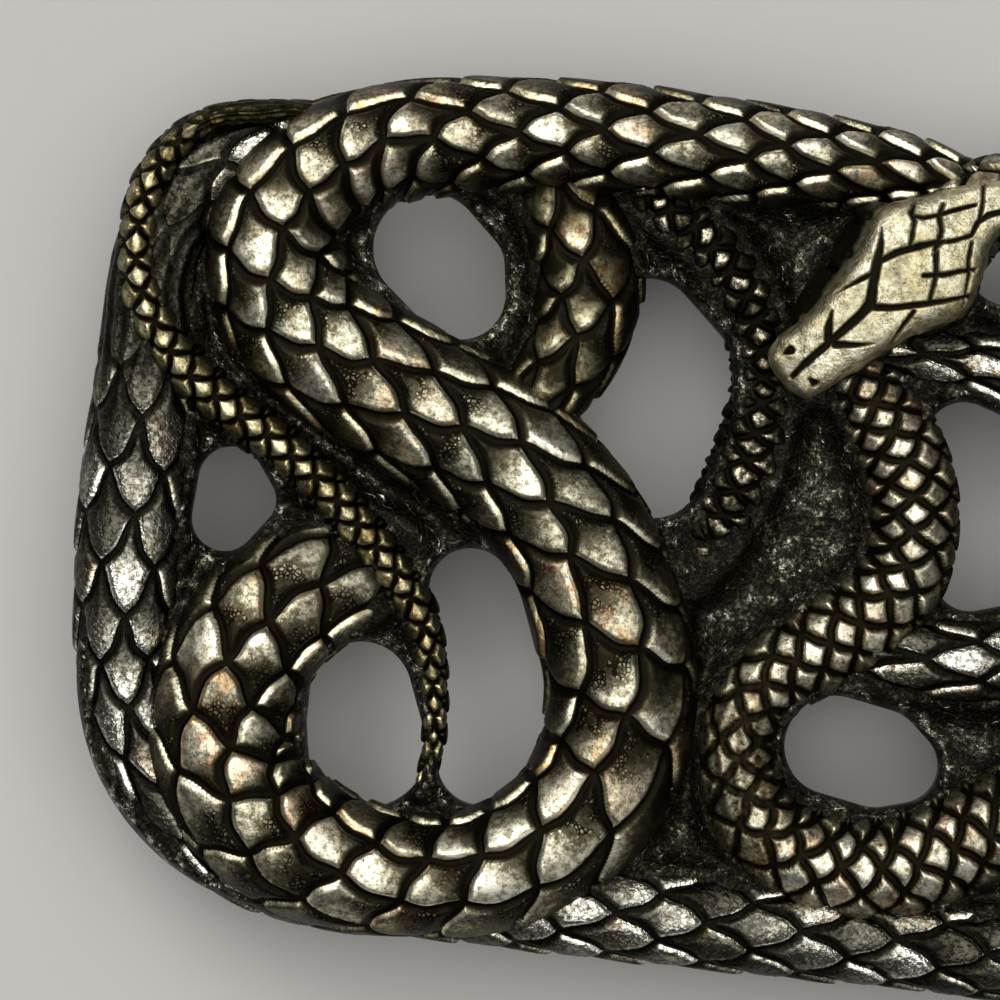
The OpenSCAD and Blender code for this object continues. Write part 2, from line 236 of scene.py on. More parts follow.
# Only the web's surface uses these rows: it rises towards the head as towards the other bodies
HEAD = [
    (4.2, 10.3, 0.9, 5.6),
    (4.6, 10.8, 1.9, 6.5),
    (5.5, 11.7, 2.4, 7.0),
    (7.2, 13.6, 2.7, 7.7),
    (9.2, 15.9, 3.6, 8.3),
    (11.3, 18.3, 4.8, 8.6),
    (13.0, 20.2, 5.2, 8.7),
    (14.4, 21.9, 4.6, 8.4),
    (15.7, 23.4, 3.6, 7.8),
]
PEBBLE_CLEAR = [0.7, 0.85] + [1] * 5 + [0.8, 0.55, 0.55, 0.8] + [1] * 17
PEBBLE = [row + (clear,) for row, clear in zip(PEBBLE, PEBBLE_CLEAR)]
TAIL_CLEAR = [CORNER_CLEAR] * 3 + [0.5, 0.9] + [1] * 14
TAIL = [row + (clear,) for row, clear in zip(TAIL, TAIL_CLEAR)]
print(len(BIG) + len(FRAME) + len(TAIL) + len(UNDER) + len(SMALL) + len(PEBBLE), "rows for six snakes")

# %% [markdown]
# Three small helpers serve every piece. A smooth step eases between two heights, a value noise gives
# soft lumps of a chosen size, and a smooth curve runs through the rows of a table.

# %% Small helpers
def ease(x, low, high):
    """0 below low, 1 above high, and the smooth cubic 3t^2 - 2t^3 between them."""
    t = np.clip((x - low) / (high - low), 0, 1)
    return t * t * (3 - 2 * t)


def bump(x, middle, width):
    """A rounded ridge: e to the power of minus the squared distance from middle, in widths."""
    return np.exp(-((x - middle) / width) ** 2)


def lumps(x, y, size, seed):
    """Soft noise from -1 to 1: random values on a square grid of that size in mm, eased between."""
    table = np.random.default_rng(seed).uniform(-1, 1, (256, 256))
    u, v = x / size + 1000.0, y / size + 1000.0
    i, j = np.floor(u).astype(int), np.floor(v).astype(int)
    s, t = ease(u - i, 0, 1), ease(v - j, 0, 1)
    i, j, i1, j1 = i % 256, j % 256, (i + 1) % 256, (j + 1) % 256
    low = table[i, j] * (1 - s) + table[i1, j] * s
    high = table[i, j1] * (1 - s) + table[i1, j1] * s
    return low * (1 - t) + high * t


def each_tile(i, j, seed):
    """One random number from 0 to 1 for each scale, found by the scale's two counts."""
    table = np.random.default_rng(seed).uniform(0, 1, (128, 128))
    return table[i.astype(int) % 128, j.astype(int) % 128]


def smooth_rows(rows, closed=False, fine=32):
    """All columns on the Catmull-Rom curve: half of 2b + (c-a)t + (2a-5b+4c-d)t^2 + (3b-a-3c+d)t^3."""
    p = np.array(rows, float)
    n = len(p)
    i = np.arange(n if closed else n - 1)
    pick = [(i + k) % n if closed else np.clip(i + k, 0, n - 1) for k in (-1, 0, 1, 2)]
    a, b, c, d = [p[k][:, None, :] for k in pick]
    t = (np.arange(fine) / fine)[None, :, None]
    curve = 0.5 * (2 * b + (c - a) * t + (2 * a - 5 * b + 4 * c - d) * t**2 + (3 * b - a - 3 * c + d) * t**3)
    end = p[:1] if closed else p[-1:]
    return np.vstack([curve.reshape(-1, p.shape[1]), end])


def even_rows(rows, step, closed=False):
    """The same curve cut into equal lengths: each column read off by the running length."""
    curve = smooth_rows(rows, closed)
    length = np.concatenate([[0], np.cumsum(np.hypot(*np.diff(curve[:, :2], axis=0).T))])
    n = int(round(length[-1] / step))
    at = np.linspace(0, length[-1], n + 1)
    columns = np.stack([np.interp(at, length, column) for column in curve.T], axis=1)
    return (at[:-1], columns[:-1]) if closed else (at, columns)


print("length of the big snake", round(even_rows(BIG, 1.0)[0][-1]), "mm")

# %% [markdown]
# A body is a flat-bottomed arch carried along its path. Its grid has one row of points for each step
# along the path and one column for each place round the arch, so both can be worked out at once.
# Sculpting would give the same form, but a formula keeps every scale at its measured size.

# %% A body's surface
# The foot of each flank leans in by this much, in mm, where the web hides it
TUCK = 0.35


def arch_grid(rows, step, closed=False):
    """Points of a body. Across: half width times cos a. Up: rest + (height - rest) times sin a, above
    two upright flanks. Returns the points, outward directions, length, share round and height up."""
    s, p = even_rows(rows, step, closed)
    x, y, w, h = p[:, 0], p[:, 1], p[:, 2], p[:, 3]
    if closed:
        tx, ty = np.roll(x, -1) - np.roll(x, 1), np.roll(y, -1) - np.roll(y, 1)
    else:
        tx, ty = np.gradient(x), np.gradient(y)
    size = np.hypot(tx, ty)
    side_x, side_y = -ty / size, tx / size
    rest = SHOULDER * h
    arc = math.pi * math.sqrt((w.mean() ** 2 + (h - rest).mean() ** 2) / 2)
    n_arc = int(round(arc / step))
    n_flank = max(2, int(round((rest.mean() - FOOT_Z) / (2 * step))))
    down = np.linspace(0, 1, n_flank + 1)[:-1]
    a = np.concatenate([np.zeros(n_flank), np.linspace(0, math.pi, n_arc + 1), np.full(n_flank, math.pi)])
    drop = np.concatenate([1 - down, np.zeros(n_arc + 1), 1 - down[::-1]])
    cos, sin = np.cos(a)[None, :], np.sin(a)[None, :]
    w, h, rest = w[:, None], h[:, None], rest[:, None]
    across = w * cos
    up = rest + (h - rest) * sin - np.maximum(rest - FOOT_Z, 0) * drop[None, :]
    out_across, out_up = cos * (h - rest), sin * w
    norm = np.hypot(out_across, out_up) + 1e-9
    out_across, out_up = out_across / norm, out_up / norm
    across = across - np.sign(cos) * TUCK * ease(drop, 0.75, 1.0)[None, :]
    x, y, side_x, side_y = [column[:, None] for column in (x, y, side_x, side_y)]
    points = np.stack([x + side_x * across, y + side_y * across, up], axis=2)
    out = np.stack([side_x * out_across, side_y * out_across, out_up], axis=2)
    arch_length = math.pi * np.sqrt((w**2 + (h - rest) ** 2) / 2)
    q = a[None, :] / math.pi - 0.5 + np.sign(a - 1)[None, :] * drop[None, :] * (rest - FOOT_Z) / arch_length
    return points, out, np.broadcast_to(s[:, None], q.shape), q, p


def skin_faces(n, m, closed):
    """Four-sided faces of an n by m grid that closes on itself round the section, turned outward."""
    i = np.arange(n if closed else n - 1)[:, None]
    j = np.arange(m)[None, :]
    i1, j1 = (i + 1) % n, (j + 1) % m
    return np.stack([i * m + j, i * m + j1, i1 * m + j1, i1 * m + j], axis=2).reshape(-1, 4)


def add_mesh(name, points, quads, triangles, finish, flat_faces=0, **values):
    """Puts points in mm and faces into a mesh in metres, with one value of each name at each point.
    The last flat_faces faces are shaded flat."""
    mesh = bpy.data.meshes.new(name)
    co = np.asarray(points, float).reshape(-1, 3) * MM + np.array([0, 0, BACK_Z * MM])
    quads = np.asarray(quads, np.int32).reshape(-1, 4)
    triangles = np.asarray(triangles, np.int32).reshape(-1, 3)
    mesh.vertices.add(len(co))
    mesh.vertices.foreach_set("co", co.astype(np.float32).ravel())
    corners = np.concatenate([quads.ravel(), triangles.ravel()])
    starts = np.concatenate([np.arange(len(quads)) * 4, len(quads) * 4 + np.arange(len(triangles)) * 3])
    mesh.loops.add(len(corners))
    mesh.loops.foreach_set("vertex_index", corners)
    mesh.polygons.add(len(starts))
    mesh.polygons.foreach_set("loop_start", starts.astype(np.int32))
    smooth = np.ones(len(starts), bool)
    smooth[len(starts) - flat_faces :] = False
    mesh.polygons.foreach_set("use_smooth", smooth)
    for key, value in values.items():
        layer = mesh.attributes.new(key, "FLOAT", "POINT")
        layer.data.foreach_set("value", np.asarray(value, np.float32).ravel())
    mesh.update(calc_edges=True)
    mesh.validate()
    mesh.materials.append(finish)
    piece = bpy.data.objects.new(name, mesh)
    bpy.context.scene.collection.objects.link(piece)
    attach(piece, "root")
    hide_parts("casting")
    print(name, 2 * len(quads) + len(triangles), "triangles")
    return piece


def close_ends(points, values):
    """A body's open ends get one point each, in the middle of the end's section, and a fan of faces."""
    n, m = points.shape[:2]
    middle = [points[0].mean(axis=0), points[-1].mean(axis=0)]
    all_points = np.vstack([points.reshape(-1, 3), middle])
    j = np.arange(m)
    first = np.stack([np.full(m, n * m), (j + 1) % m, j], axis=1)
    last = np.stack([np.full(m, n * m + 1), (n - 1) * m + j, (n - 1) * m + (j + 1) % m], axis=1)
    filled = {key: np.append(value.ravel(), [0.0, 0.0]) for key, value in values.items()}
    return all_points, np.vstack([first, last]), filled


# %% [markdown]
# Scales lie in a diamond lattice: one family of grooves falls to the right of the snake's travel, the
# other climbs to the left. Counting both families at every point tells which scale the point is on
# and how far it is from that scale's four edges. The rear edges stand up sharply over the groove
# behind them, and the front comes up gently out of the next one, as on a real snake.

# %% The scales' relief
# The arch of a body is about this long in mm, so this times its share round is a length for noise
ARCH_MM = 9
# How much rounder a scale's corners are in the mesh than in the finish, in mm
ROUNDER = 0.1
# In mm: the wrinkles' height, and how far they wander over lengths of that size
WRINKLE_H = 0.1
WANDER_MM = 3.0


def slopes(count, points):
    """How fast a count of grooves changes, per mm: its differences over the lengths between points."""
    along = np.linalg.norm(np.gradient(points, axis=0), axis=2) + 1e-6
    round_it = np.linalg.norm(np.gradient(points, axis=1), axis=2) + 1e-6
    return np.hypot(np.gradient(count, axis=0) / along, np.gradient(count, axis=1) / round_it) + 1e-6


def round_corner(p, q, radius):
    """Distance in from two edges that meet in a rounded corner: the radius, less how far the point is
    from the corner's centre where it is beyond it both ways, plus how far it is past the radius."""
    corner = radius - np.hypot(np.maximum(radius - p, 0), np.maximum(radius - q, 0))
    return corner + np.maximum(np.minimum(p, q) - radius, 0)


def scale_relief(fall, climb, points, s, q, look, seed):
    """Height in mm over the body, and the two counts with how fast they rise per mm. Height: minus
    depth, plus rise times how far the point is inside all four edges, plus a crown and a tilt that
    lifts the rear."""
    size = look["size"]
    fall = fall + look["jitter"] * lumps(s, ARCH_MM * q, size, seed)
    climb = climb + look["jitter"] * lumps(s, ARCH_MM * q, size, seed + 1)
    f = fall - look["curve"] * np.cos(2 * math.pi * climb)
    c = climb - look["curve"] * np.cos(2 * math.pi * fall)
    i, j = np.round(f), np.round(c)
    a, b = f - i, c - j
    per_a, per_b = slopes(f, points), slopes(c, points)
    rear = [(0.5 - a) / per_a, (0.5 - b) / per_b]
    front = [(0.5 + a) / per_a, (0.5 + b) / per_b]
    if look["pad"]:
        rear = front = [np.minimum(rear[0], front[0]), np.minimum(rear[1], front[1])]
    gap, soft, rise_over = look["gap"], look["soft"], max(look["ramp"], look["soft"])
    radius = look["round"] + ROUNDER
    steep = ease(round_corner(rear[0], rear[1], radius), gap, gap + soft)
    gentle = ease(round_corner(front[0], front[1], radius), gap, gap + rise_over)
    inside = steep * gentle
    crown = (1 - 4 * a**2) * (1 - 4 * b**2)
    lift = each_tile(i, j, seed + 2)
    lean = (each_tile(i, j, seed + 3) - 0.5) * a + (each_tile(i, j, seed + 4) - 0.5) * b
    height = inside * (look["rise"] * (0.85 + 0.3 * lift) + look["crown"] * crown)
    height = height + inside * (look["tilt"] * (a + b) + look["lean"] * lean) - look["depth"] * (1 - inside)
    return height, {"fall": f, "climb": c, "per_fall": per_a, "per_climb": per_b}


def add_snake(name, rows, step, length, over, look, finish, seed, closed=False, counted=False):
    """One scaled body. Both groove counts rise by one for each scale's length along the body, in mm, and
    fall or climb by the number of scales over the arch. Where counted, the rows hold the counts and the
    climb instead. Where a row says that its scales are not clear, long wrinkles take their place."""
    points, out, s, q, p = arch_grid(rows, step, closed)
    if counted:
        fall, climb = p[:, 4:5] - over * q, p[:, 5:6] + p[:, 6:7] * q
    else:
        lengths = np.interp(s[:, 0], np.linspace(0, s[-1, 0], len(length)), length)
        run = np.concatenate([[0], np.cumsum(step / lengths)[:-1]])
        if closed:
            run = run * round(run[-1] + run[1]) / (run[-1] + run[1])
        fall, climb = run[:, None] - over * q, run[:, None] + over * q
    height, values = scale_relief(fall, climb, points, s, q, look, seed)
    up = points[:, :, 2]
    foot = ease(up, FOOT_Z + 0.1, FOOT_Z + 1.2)
    clear = p[:, 4:5] if not counted and p.shape[1] > 4 else 1.0
    wrinkle = np.sin(2 * math.pi * (ARCH_MM * q + 0.6 * lumps(s, ARCH_MM * q, WANDER_MM, seed + 8)))
    height = height * clear + (1 - clear) * WRINKLE_H * wrinkle
    if closed:
        ends = np.ones_like(s)
    else:
        ends = ease(s, 0, 1.0) * ease(s[-1, 0] - s, 0, 1.0)
    points = points + out * (height * foot * ends)[:, :, None]
    # Darker low on each flank and brighter towards the crest: painted shade, together with the patina there
    side = look["side"] + (1 - look["side"]) * ease(up / p[:, 3:4], look["top"], 0.97)
    values["clear"] = foot * clear
    values["wear"] = foot * (1 - clear) * (0.2 + 0.13 * wrinkle)
    values["high"] = foot * side
    n, m = points.shape[:2]
    if closed:
        return add_mesh(name, points, skin_faces(n, m, True), np.zeros((0, 3)), finish, **values)
    all_points, caps, values = close_ends(points, values)
    return add_mesh(name, all_points, skin_faces(n, m, False), caps, finish, len(caps), **values)


print("relief helpers ready")

# %% [markdown]
# Each kind of scale has a look: lengths in mm for the groove, the lips and the rise, and shares that say
# how bright the fore part, the sides and the rear lips are; these paint shade on the fore part and the
# flanks and a highlight on the rear lips. One set of numbers serves both the surface and the finish, so the
# bright lips always lie where the metal really stands up.

# %% The looks of the scales
# In mm: size, over which the grooves wander; gap, lip, soft and ramp, the groove's half width, the lip's
# width and how far in the rear and the front are at full height; round, the corners' radius; rise, crown,
# tilt, lean and depth, the heights of the relief; edge, the height of the bump at the lips.
# Shares: curve and jitter of one scale; shade, the rearward places between which the metal goes from
# front to bright, painted shade on the fore part together with the patina there; vary between scales; side,
# the brightness low on a flank, and top, the height where it starts to grow, painted shade on the flanks
# together with their patina; painted_lip_highlight, a highlight painted at the lips; gilt, grit for tarnish
# and granules. A pad is alike on all four sides
SCALES = dict(
    size=4.0, gap=0.14, lip=0.14, soft=0.36, ramp=0.5, round=0.3, rise=0.2, crown=0.07, tilt=0.16, lean=0.16,
    depth=0.22, edge=0.06, shade=(-0.6, 0.28), front=0.22, curve=0.05, jitter=0.08, vary=0.32, side=0.36,
    top=0.4, painted_lip_highlight=0.5, gilt=0.5, grit=1.0, pad=False,
)
LEAVES = dict(
    SCALES, gap=0.09, rise=0.12, crown=0.1, depth=0.16, edge=0.07, shade=(-0.9, 0.3), front=0.3, vary=0.65,
    side=0.45, painted_lip_highlight=0.55, gilt=0.2, grit=0.0,
)
# The run that dives under the big snake: darker fore parts and flanks, painted shade beside the big snake
UNDER_SCALES_IN_PAINTED_SHADE = dict(SCALES, shade=(-0.4, 0.5), vary=0.6, side=0.15, top=0.55)
BEADS = dict(
    SCALES, size=1.5, gap=0.05, soft=0.22, ramp=0.2, round=0.25, rise=0.14, crown=0.12, tilt=0.04, lean=0.1,
    depth=0.16, edge=0.04, shade=(-1.0, -0.2), front=0.6, curve=0.03, jitter=0.09, vary=0.3, side=0.15,
    painted_lip_highlight=0.1, grit=0.0, pad=True,
)
TAIL_BEADS = dict(BEADS, top=0.6, gap=0.1)
PEBBLES = dict(
    BEADS, gap=0.14, soft=0.28, ramp=0.28, round=0.3, rise=0.2, crown=0.05, lean=0.07, depth=0.24, side=0.35,
    edge=0.08,
)
DARK_BEADS = dict(BEADS, gap=0.12, jitter=0.16, vary=0.7, crown=0.22, front=0.3)
print(len(SCALES), "values in each look")

# %% [markdown]
# The real casting is white metal that was blackened and then rubbed back: the dark patina stays in
# every groove and the crests are polished bright. So one value, the wear, steers the colour and the
# roughness together. On the scales it also carries painted shade on the fore parts and the flanks and a
# painted highlight on the rear lips. It is worked out in the finish itself from the two groove counts,
# because the picture has many more pixels than the mesh has points, and so every lip stays crisp.

# %% Helpers for the finishes
def linear(code):
    """Hex sRGB to linear: each channel over 12.92 when dark, else ((c + 0.055) / 1.055) to the 2.4."""
    parts = [int(code[i : i + 2], 16) / 255 for i in (1, 3, 5)]
    return [c / 12.92 if c <= 0.04045 else ((c + 0.055) / 1.055) ** 2.4 for c in parts] + [1.0]


def add_node(tree, kind, settings=None, links=None):
    """Adds a node, sets its properties and sockets, and links other nodes' outputs to its inputs."""
    node = tree.nodes.new(kind)
    for key, value in (settings or {}).items():
        if isinstance(key, str) and hasattr(node, key):
            setattr(node, key, value)
        else:
            node.inputs[key].default_value = value
    for key, source in (links or {}).items():
        tree.links.new(source, node.inputs[key])
    return node


def calc(tree, operation, *values):
    """One step of arithmetic in a finish: each value is a number or another node's output."""
    numbers = {k: v for k, v in enumerate(values) if isinstance(v, (int, float))}
    sources = {k: v for k, v in enumerate(values) if not isinstance(v, (int, float))}
    return add_node(tree, "ShaderNodeMath", dict(numbers, operation=operation), sources).outputs[0]


def between(tree, value, low, high, start=0.0, end=1.0):
    """The smooth step of the helper above, inside a finish: start below low, end above high."""
    settings = {"From Min": low, "From Max": high, "To Min": start, "To Max": end}
    settings["interpolation_type"] = "SMOOTHSTEP"
    return add_node(tree, "ShaderNodeMapRange", settings, {"Value": value}).outputs["Result"]


def attribute(tree, name):
    """A value stored at the mesh's points."""
    return add_node(tree, "ShaderNodeAttribute", {"attribute_name": name}).outputs["Fac"]


def noise(tree, place, size_mm, detail=4.0, rough=0.6):
    """Noise with lumps of that size, from 0 to 1 around 0.5."""
    settings = {"Scale": 1 / (size_mm * MM), "Detail": detail, "Roughness": rough}
    return add_node(tree, "ShaderNodeTexNoise", settings, {"Vector": place}).outputs["Fac"]


def ramp(tree, stops, source):
    """A colour ramp with the stops given as places and hex colours."""
    node = add_node(tree, "ShaderNodeValToRGB", None, {"Fac": source})
    band = node.color_ramp
    while len(band.elements) < len(stops):
        band.elements.new(0.5)
    for element, (place, code) in zip(band.elements, stops):
        element.position = place
        element.color = linear(code)
    return node.outputs["Color"]


def times_colour(tree, colour, share, code):
    """The colour multiplied by a hex colour, by that share."""
    settings = {"data_type": "RGBA", "blend_type": "MULTIPLY", 7: linear(code)}
    return add_node(tree, "ShaderNodeMix", settings, {0: share, 6: colour}).outputs[2]


def product(tree, *values):
    """All the values multiplied together."""
    total = values[0]
    for value in values[1:]:
        total = calc(tree, "MULTIPLY", total, value)
    return total


print("node helpers ready")

# %% [markdown]
# The finish of a scale starts from the same two counts as its relief. Their rounded values name the
# scale, which gives it a chance of its own, and what is left says where on the scale the pixel lies.

# %% The wear of a scale
# The highlight painted on the lip, and the tarnish there, fade out over this length, in mm, in from the edge
LIP_FADE = 0.24
# How far, in counts, chance moves the place where a scale turns from its darker fore part, painted shade
# with patina, to bright
CHANCE_SHIFT = 0.4


def corner_distance(tree, edges, radius):
    """The relief's distance in from two edges that meet in a rounded corner, inside a finish."""
    x, y = [calc(tree, "MAXIMUM", calc(tree, "SUBTRACT", radius, d), 0.0) for d in edges]
    length = calc(tree, "SQRT", calc(tree, "ADD", product(tree, x, x), product(tree, y, y)))
    further = calc(tree, "MAXIMUM", calc(tree, "SUBTRACT", calc(tree, "MINIMUM", *edges), radius), 0.0)
    return calc(tree, "SUBTRACT", calc(tree, "ADD", further, radius), length)


def scale_values(tree, look):
    """The relief's formula again, at every pixel. Wear: how far the point is inside its scale's edges,
    times how far back it is, which paints shade on the fore part along with its patina, times a chance of
    the scale's own, times the darkening low on the flanks, painted shade along with their patina, plus the
    highlight painted on the lip. Also returns the chance for its tint, how far fore it is, the share of
    tarnish, and the step in height at its edges."""
    count = [attribute(tree, "fall"), attribute(tree, "climb")]
    per_mm = [attribute(tree, "per_fall"), attribute(tree, "per_climb")]
    tile = [calc(tree, "ROUND", n) for n in count]
    a, b = [calc(tree, "SUBTRACT", n, i) for n, i in zip(count, tile)]
    rear = [calc(tree, "DIVIDE", calc(tree, "SUBTRACT", 0.5, x), per) for x, per in zip((a, b), per_mm)]
    front = [calc(tree, "DIVIDE", calc(tree, "ADD", 0.5, x), per) for x, per in zip((a, b), per_mm)]
    if look["pad"]:
        rear = front = [calc(tree, "MINIMUM", x, y) for x, y in zip(rear, front)]
    gap, lip = look["gap"], look["lip"]
    top = gap + lip
    past_rear = corner_distance(tree, rear, look["round"])
    past_front = corner_distance(tree, front, look["round"])
    full_rear = between(tree, past_rear, gap, top)
    inside = product(tree, full_rear, between(tree, past_front, gap, gap + look["ramp"]))
    near_lip = between(tree, past_rear, top, top + LIP_FADE, 1.0, 0.0)
    # A painted highlight along each scale's rear lip
    edge = product(tree, between(tree, past_rear, gap + 0.4 * lip, top), near_lip, inside)
    which = add_node(tree, "ShaderNodeCombineXYZ", None, {0: tile[0], 1: tile[1]}).outputs[0]
    chance = add_node(
        tree, "ShaderNodeTexWhiteNoise", {"noise_dimensions": "3D"}, {"Vector": which}
    ).outputs["Color"]
    chance = add_node(tree, "ShaderNodeSeparateColor", None, {"Color": chance}).outputs
    rearward = calc(tree, "ADD", a, b)
    shifted = calc(tree, "MULTIPLY_ADD", chance[0], CHANCE_SHIFT, rearward)
    low, high = look["shade"]
    middle = CHANCE_SHIFT / 2
    # Darker towards each scale's front: painted shade, together with the patina kept there
    fore_shade_and_patina = between(tree, shifted, low + middle, high + middle, look["front"], 1.0)
    own = calc(tree, "MULTIPLY_ADD", chance[1], -look["vary"], 1.0)
    # The high value from the mesh darkens the flanks: painted shade together with their patina
    wear = product(tree, product(tree, inside, fore_shade_and_patina), product(tree, own, attribute(tree, "high")))
    # The painted highlight on the lip is added to the wear
    wear = calc(tree, "MULTIPLY_ADD", edge, look["painted_lip_highlight"], wear)
    clear = attribute(tree, "clear")
    wear = calc(tree, "MULTIPLY_ADD", wear, clear, attribute(tree, "wear"))
    fore = product(
        tree, inside, between(tree, shifted, -0.4, 0.35, 1.0, 0.0), between(tree, chance[1], 0.1, 0.6), clear
    )
    gilt = product(tree, between(tree, rearward, -0.1, 0.6), chance[2])
    gilt = product(tree, calc(tree, "MULTIPLY_ADD", near_lip, 0.9, gilt), look["gilt"])
    return wear, chance[2], fore, gilt, product(tree, inside, clear)


print("lips fade over", LIP_FADE, "mm")

# %% [markdown]
# One function makes every worn metal. It turns the wear into a colour and a roughness, and adds what a
# sand casting shows: stains, fine grain, granules left in the fore part of some scales, a pink cast where
# the white metal is rubbed thin, and a yellow tarnish near the rear of the scales. It can also draw creases
# as thin painted highlights.

# %% The worn metal
# Sizes in mm: granules left by the mould, bright on dark, and the patches in which they lie
GRANULE_MM = 0.32
PATCH_MM = 1.1
CREASE_MM = 2.6
TARNISH = "#dccb80"


def worn_metal(name, stops, warm, mottle, rough, look=None, grain_mm=0.18, grain_depth=0.03,
               blotch_mm=0.9, pits=0.5, painted_crease_highlights=0.0):
    """Blackened metal rubbed bright on its crests. stops: wear to colour. warm: hex of the tinted
    scales. rough: roughness in the grooves and on the crests. The level that picks the colour is the
    wear, times one plus a stain, less what is sunk between granules or in pits."""
    material = bpy.data.materials.new(name)
    material.use_nodes = True
    tree = material.node_tree
    tree.nodes.clear()
    place = add_node(tree, "ShaderNodeTexCoord").outputs["Object"]
    if look:
        wear, tint, fore, gilt, step = scale_values(tree, look)
    else:
        wear, tint, fore, gilt = [attribute(tree, key) for key in ("wear", "tint", "fore", "gilt")]
    blotch = noise(tree, place, blotch_mm, 4.0, 0.7)
    # Grain left by the mould's sand, drawn somewhat coarser than the real one so that it shows
    grain = noise(tree, place, grain_mm, 2.0, 0.65)
    patches = noise(tree, place, PATCH_MM, 1.0)
    spread = between(tree, blotch, 0.3, 0.7, -mottle, 0.5 * mottle)
    spread = calc(tree, "ADD", spread, between(tree, grain, 0.52, 0.72, 0.04, -0.26))
    level = calc(tree, "MULTIPLY_ADD", wear, spread, wear)
    if look and look["grit"]:
        cells = add_node(
            tree, "ShaderNodeTexVoronoi", {"feature": "DISTANCE_TO_EDGE", "Scale": 1 / (GRANULE_MM * MM)},
            {"Vector": place},
        ).outputs["Distance"]
        patch = product(tree, between(tree, patches, 0.45, 0.57), fore)
        sunk = product(tree, between(tree, cells, 0.03, 0.28, 1.0, 0.0), patch)
        level = calc(tree, "MULTIPLY_ADD", patch, 0.6 * pits, level)
        pits = 1.8 * pits
    elif look:
        sunk = product(tree, between(tree, noise(tree, place, 0.4, 2.0), 0.5, 0.6), 0.3)
    else:
        sunk = product(tree, between(tree, noise(tree, place, 0.3, 1.5), 0.47, 0.56), fore)
    level = calc(tree, "MULTIPLY_ADD", sunk, -pits, level)
    height = calc(tree, "MULTIPLY_ADD", sunk, -1.2, grain)
    if look:
        height = calc(tree, "MULTIPLY_ADD", step, look["edge"] / grain_depth, height)
    # Creases: thin bright lines where a slow noise passes through its middle, painted highlights on small
    # raised ridges
    if painted_crease_highlights:
        slow = calc(tree, "SUBTRACT", noise(tree, place, CREASE_MM, 2.0, 0.5), 0.5)
        crease = between(tree, calc(tree, "ABSOLUTE", slow), 0.0, 0.02, painted_crease_highlights, 0.0)
        crease = product(tree, crease, between(tree, blotch, 0.42, 0.6))
        level = calc(tree, "ADD", level, crease)
        height = calc(tree, "MULTIPLY_ADD", crease, 2.0, height)
    warmth = product(
        tree, between(tree, tint, 0.4, 1.0, 0.0, 0.6), between(tree, patches, 0.42, 0.6)
    )
    colour = times_colour(tree, ramp(tree, stops, level), warmth, warm)
    film = product(tree, between(tree, blotch, 0.42, 0.6, 0.15, 0.9), gilt)
    colour = times_colour(tree, colour, film, TARNISH)
    dullness = between(tree, level, 0.0, 0.9, rough[0], rough[1])
    dullness = calc(tree, "MULTIPLY_ADD", blotch, 0.12, dullness)
    relief = add_node(
        tree, "ShaderNodeBump", {"Strength": 0.8, "Distance": grain_depth * MM}, {"Height": height}
    ).outputs["Normal"]
    shader = add_node(
        tree, "ShaderNodeBsdfPrincipled", {"Metallic": 1.0},
        {"Base Color": colour, "Normal": relief, "Roughness": dullness},
    )
    add_node(tree, "ShaderNodeOutputMaterial", None, {"Surface": shader.outputs["BSDF"]})
    return material


print("granules of", GRANULE_MM, "mm in patches of", PATCH_MM, "mm")

# %% [markdown]
# Each body has its own stage of rubbing, so the same metal gets other stops for its colours. They are
# sRGB values read from worn antique plate: black in the grooves, olive and beige, then silver.

# %% The finishes
# Polished white metal with a faint pink cast over black patina
silver = worn_metal(
    "rubbed_white_metal",
    [(0.0, "#15130e"), (0.2, "#262217"), (0.48, "#5e5946"), (0.75, "#b9b39a"), (1.0, "#f6f1de")],
    "#dfae88", 0.38, (0.48, 0.28), look=SCALES, grain_mm=0.16, grain_depth=0.035, blotch_mm=0.55,
)
# The same metal, darker as painted shade, on the run that dives under the big snake
under_silver_in_painted_shade = worn_metal(
    "white_metal_in_painted_shade",
    [(0.0, "#17150f"), (0.25, "#2a261a"), (0.55, "#6f6950"), (0.85, "#b4ad8e"), (1.0, "#e8e2cc")],
    "#dfae88", 0.45, (0.48, 0.26), look=UNDER_SCALES_IN_PAINTED_SHADE,
)
# Darker steel tone where fewer hands rub the frame
steel = worn_metal(
    "patinated_frame_metal",
    [(0.0, "#13120e"), (0.22, "#26251e"), (0.5, "#5d5a4f"), (0.75, "#a8a495"), (1.0, "#f3f1e8")],
    "#d2b890", 0.3, (0.4, 0.13), look=LEAVES, grain_mm=0.5, grain_depth=0.1, blotch_mm=0.35, pits=0.35,
)
# Brassy crests of the thin tail
brass = worn_metal(
    "brassy_tail_metal",
    [(0.0, "#15130d"), (0.25, "#2a2618"), (0.5, "#655e44"), (0.72, "#a0966f"), (1.0, "#d9d1b0")],
    "#e0b880", 0.35, (0.5, 0.26), look=TAIL_BEADS,
)
# Blackened metal with a few bright spots on the small snake
black = worn_metal(
    "blackened_metal",
    [(0.0, "#12110d"), (0.35, "#26241b"), (0.7, "#57513f"), (0.9, "#8b8473"), (1.0, "#c4bda9")],
    "#c8b890", 0.8, (0.5, 0.22), look=DARK_BEADS,
)
# Silver-beige pebbles between wide black grooves
beige = worn_metal(
    "pebble_metal",
    [(0.0, "#1a1811"), (0.25, "#322d20"), (0.5, "#7a745e"), (0.75, "#bab39d"), (1.0, "#e9e4d2")],
    "#e0b896", 0.35, (0.5, 0.28), look=PEBBLES,
)
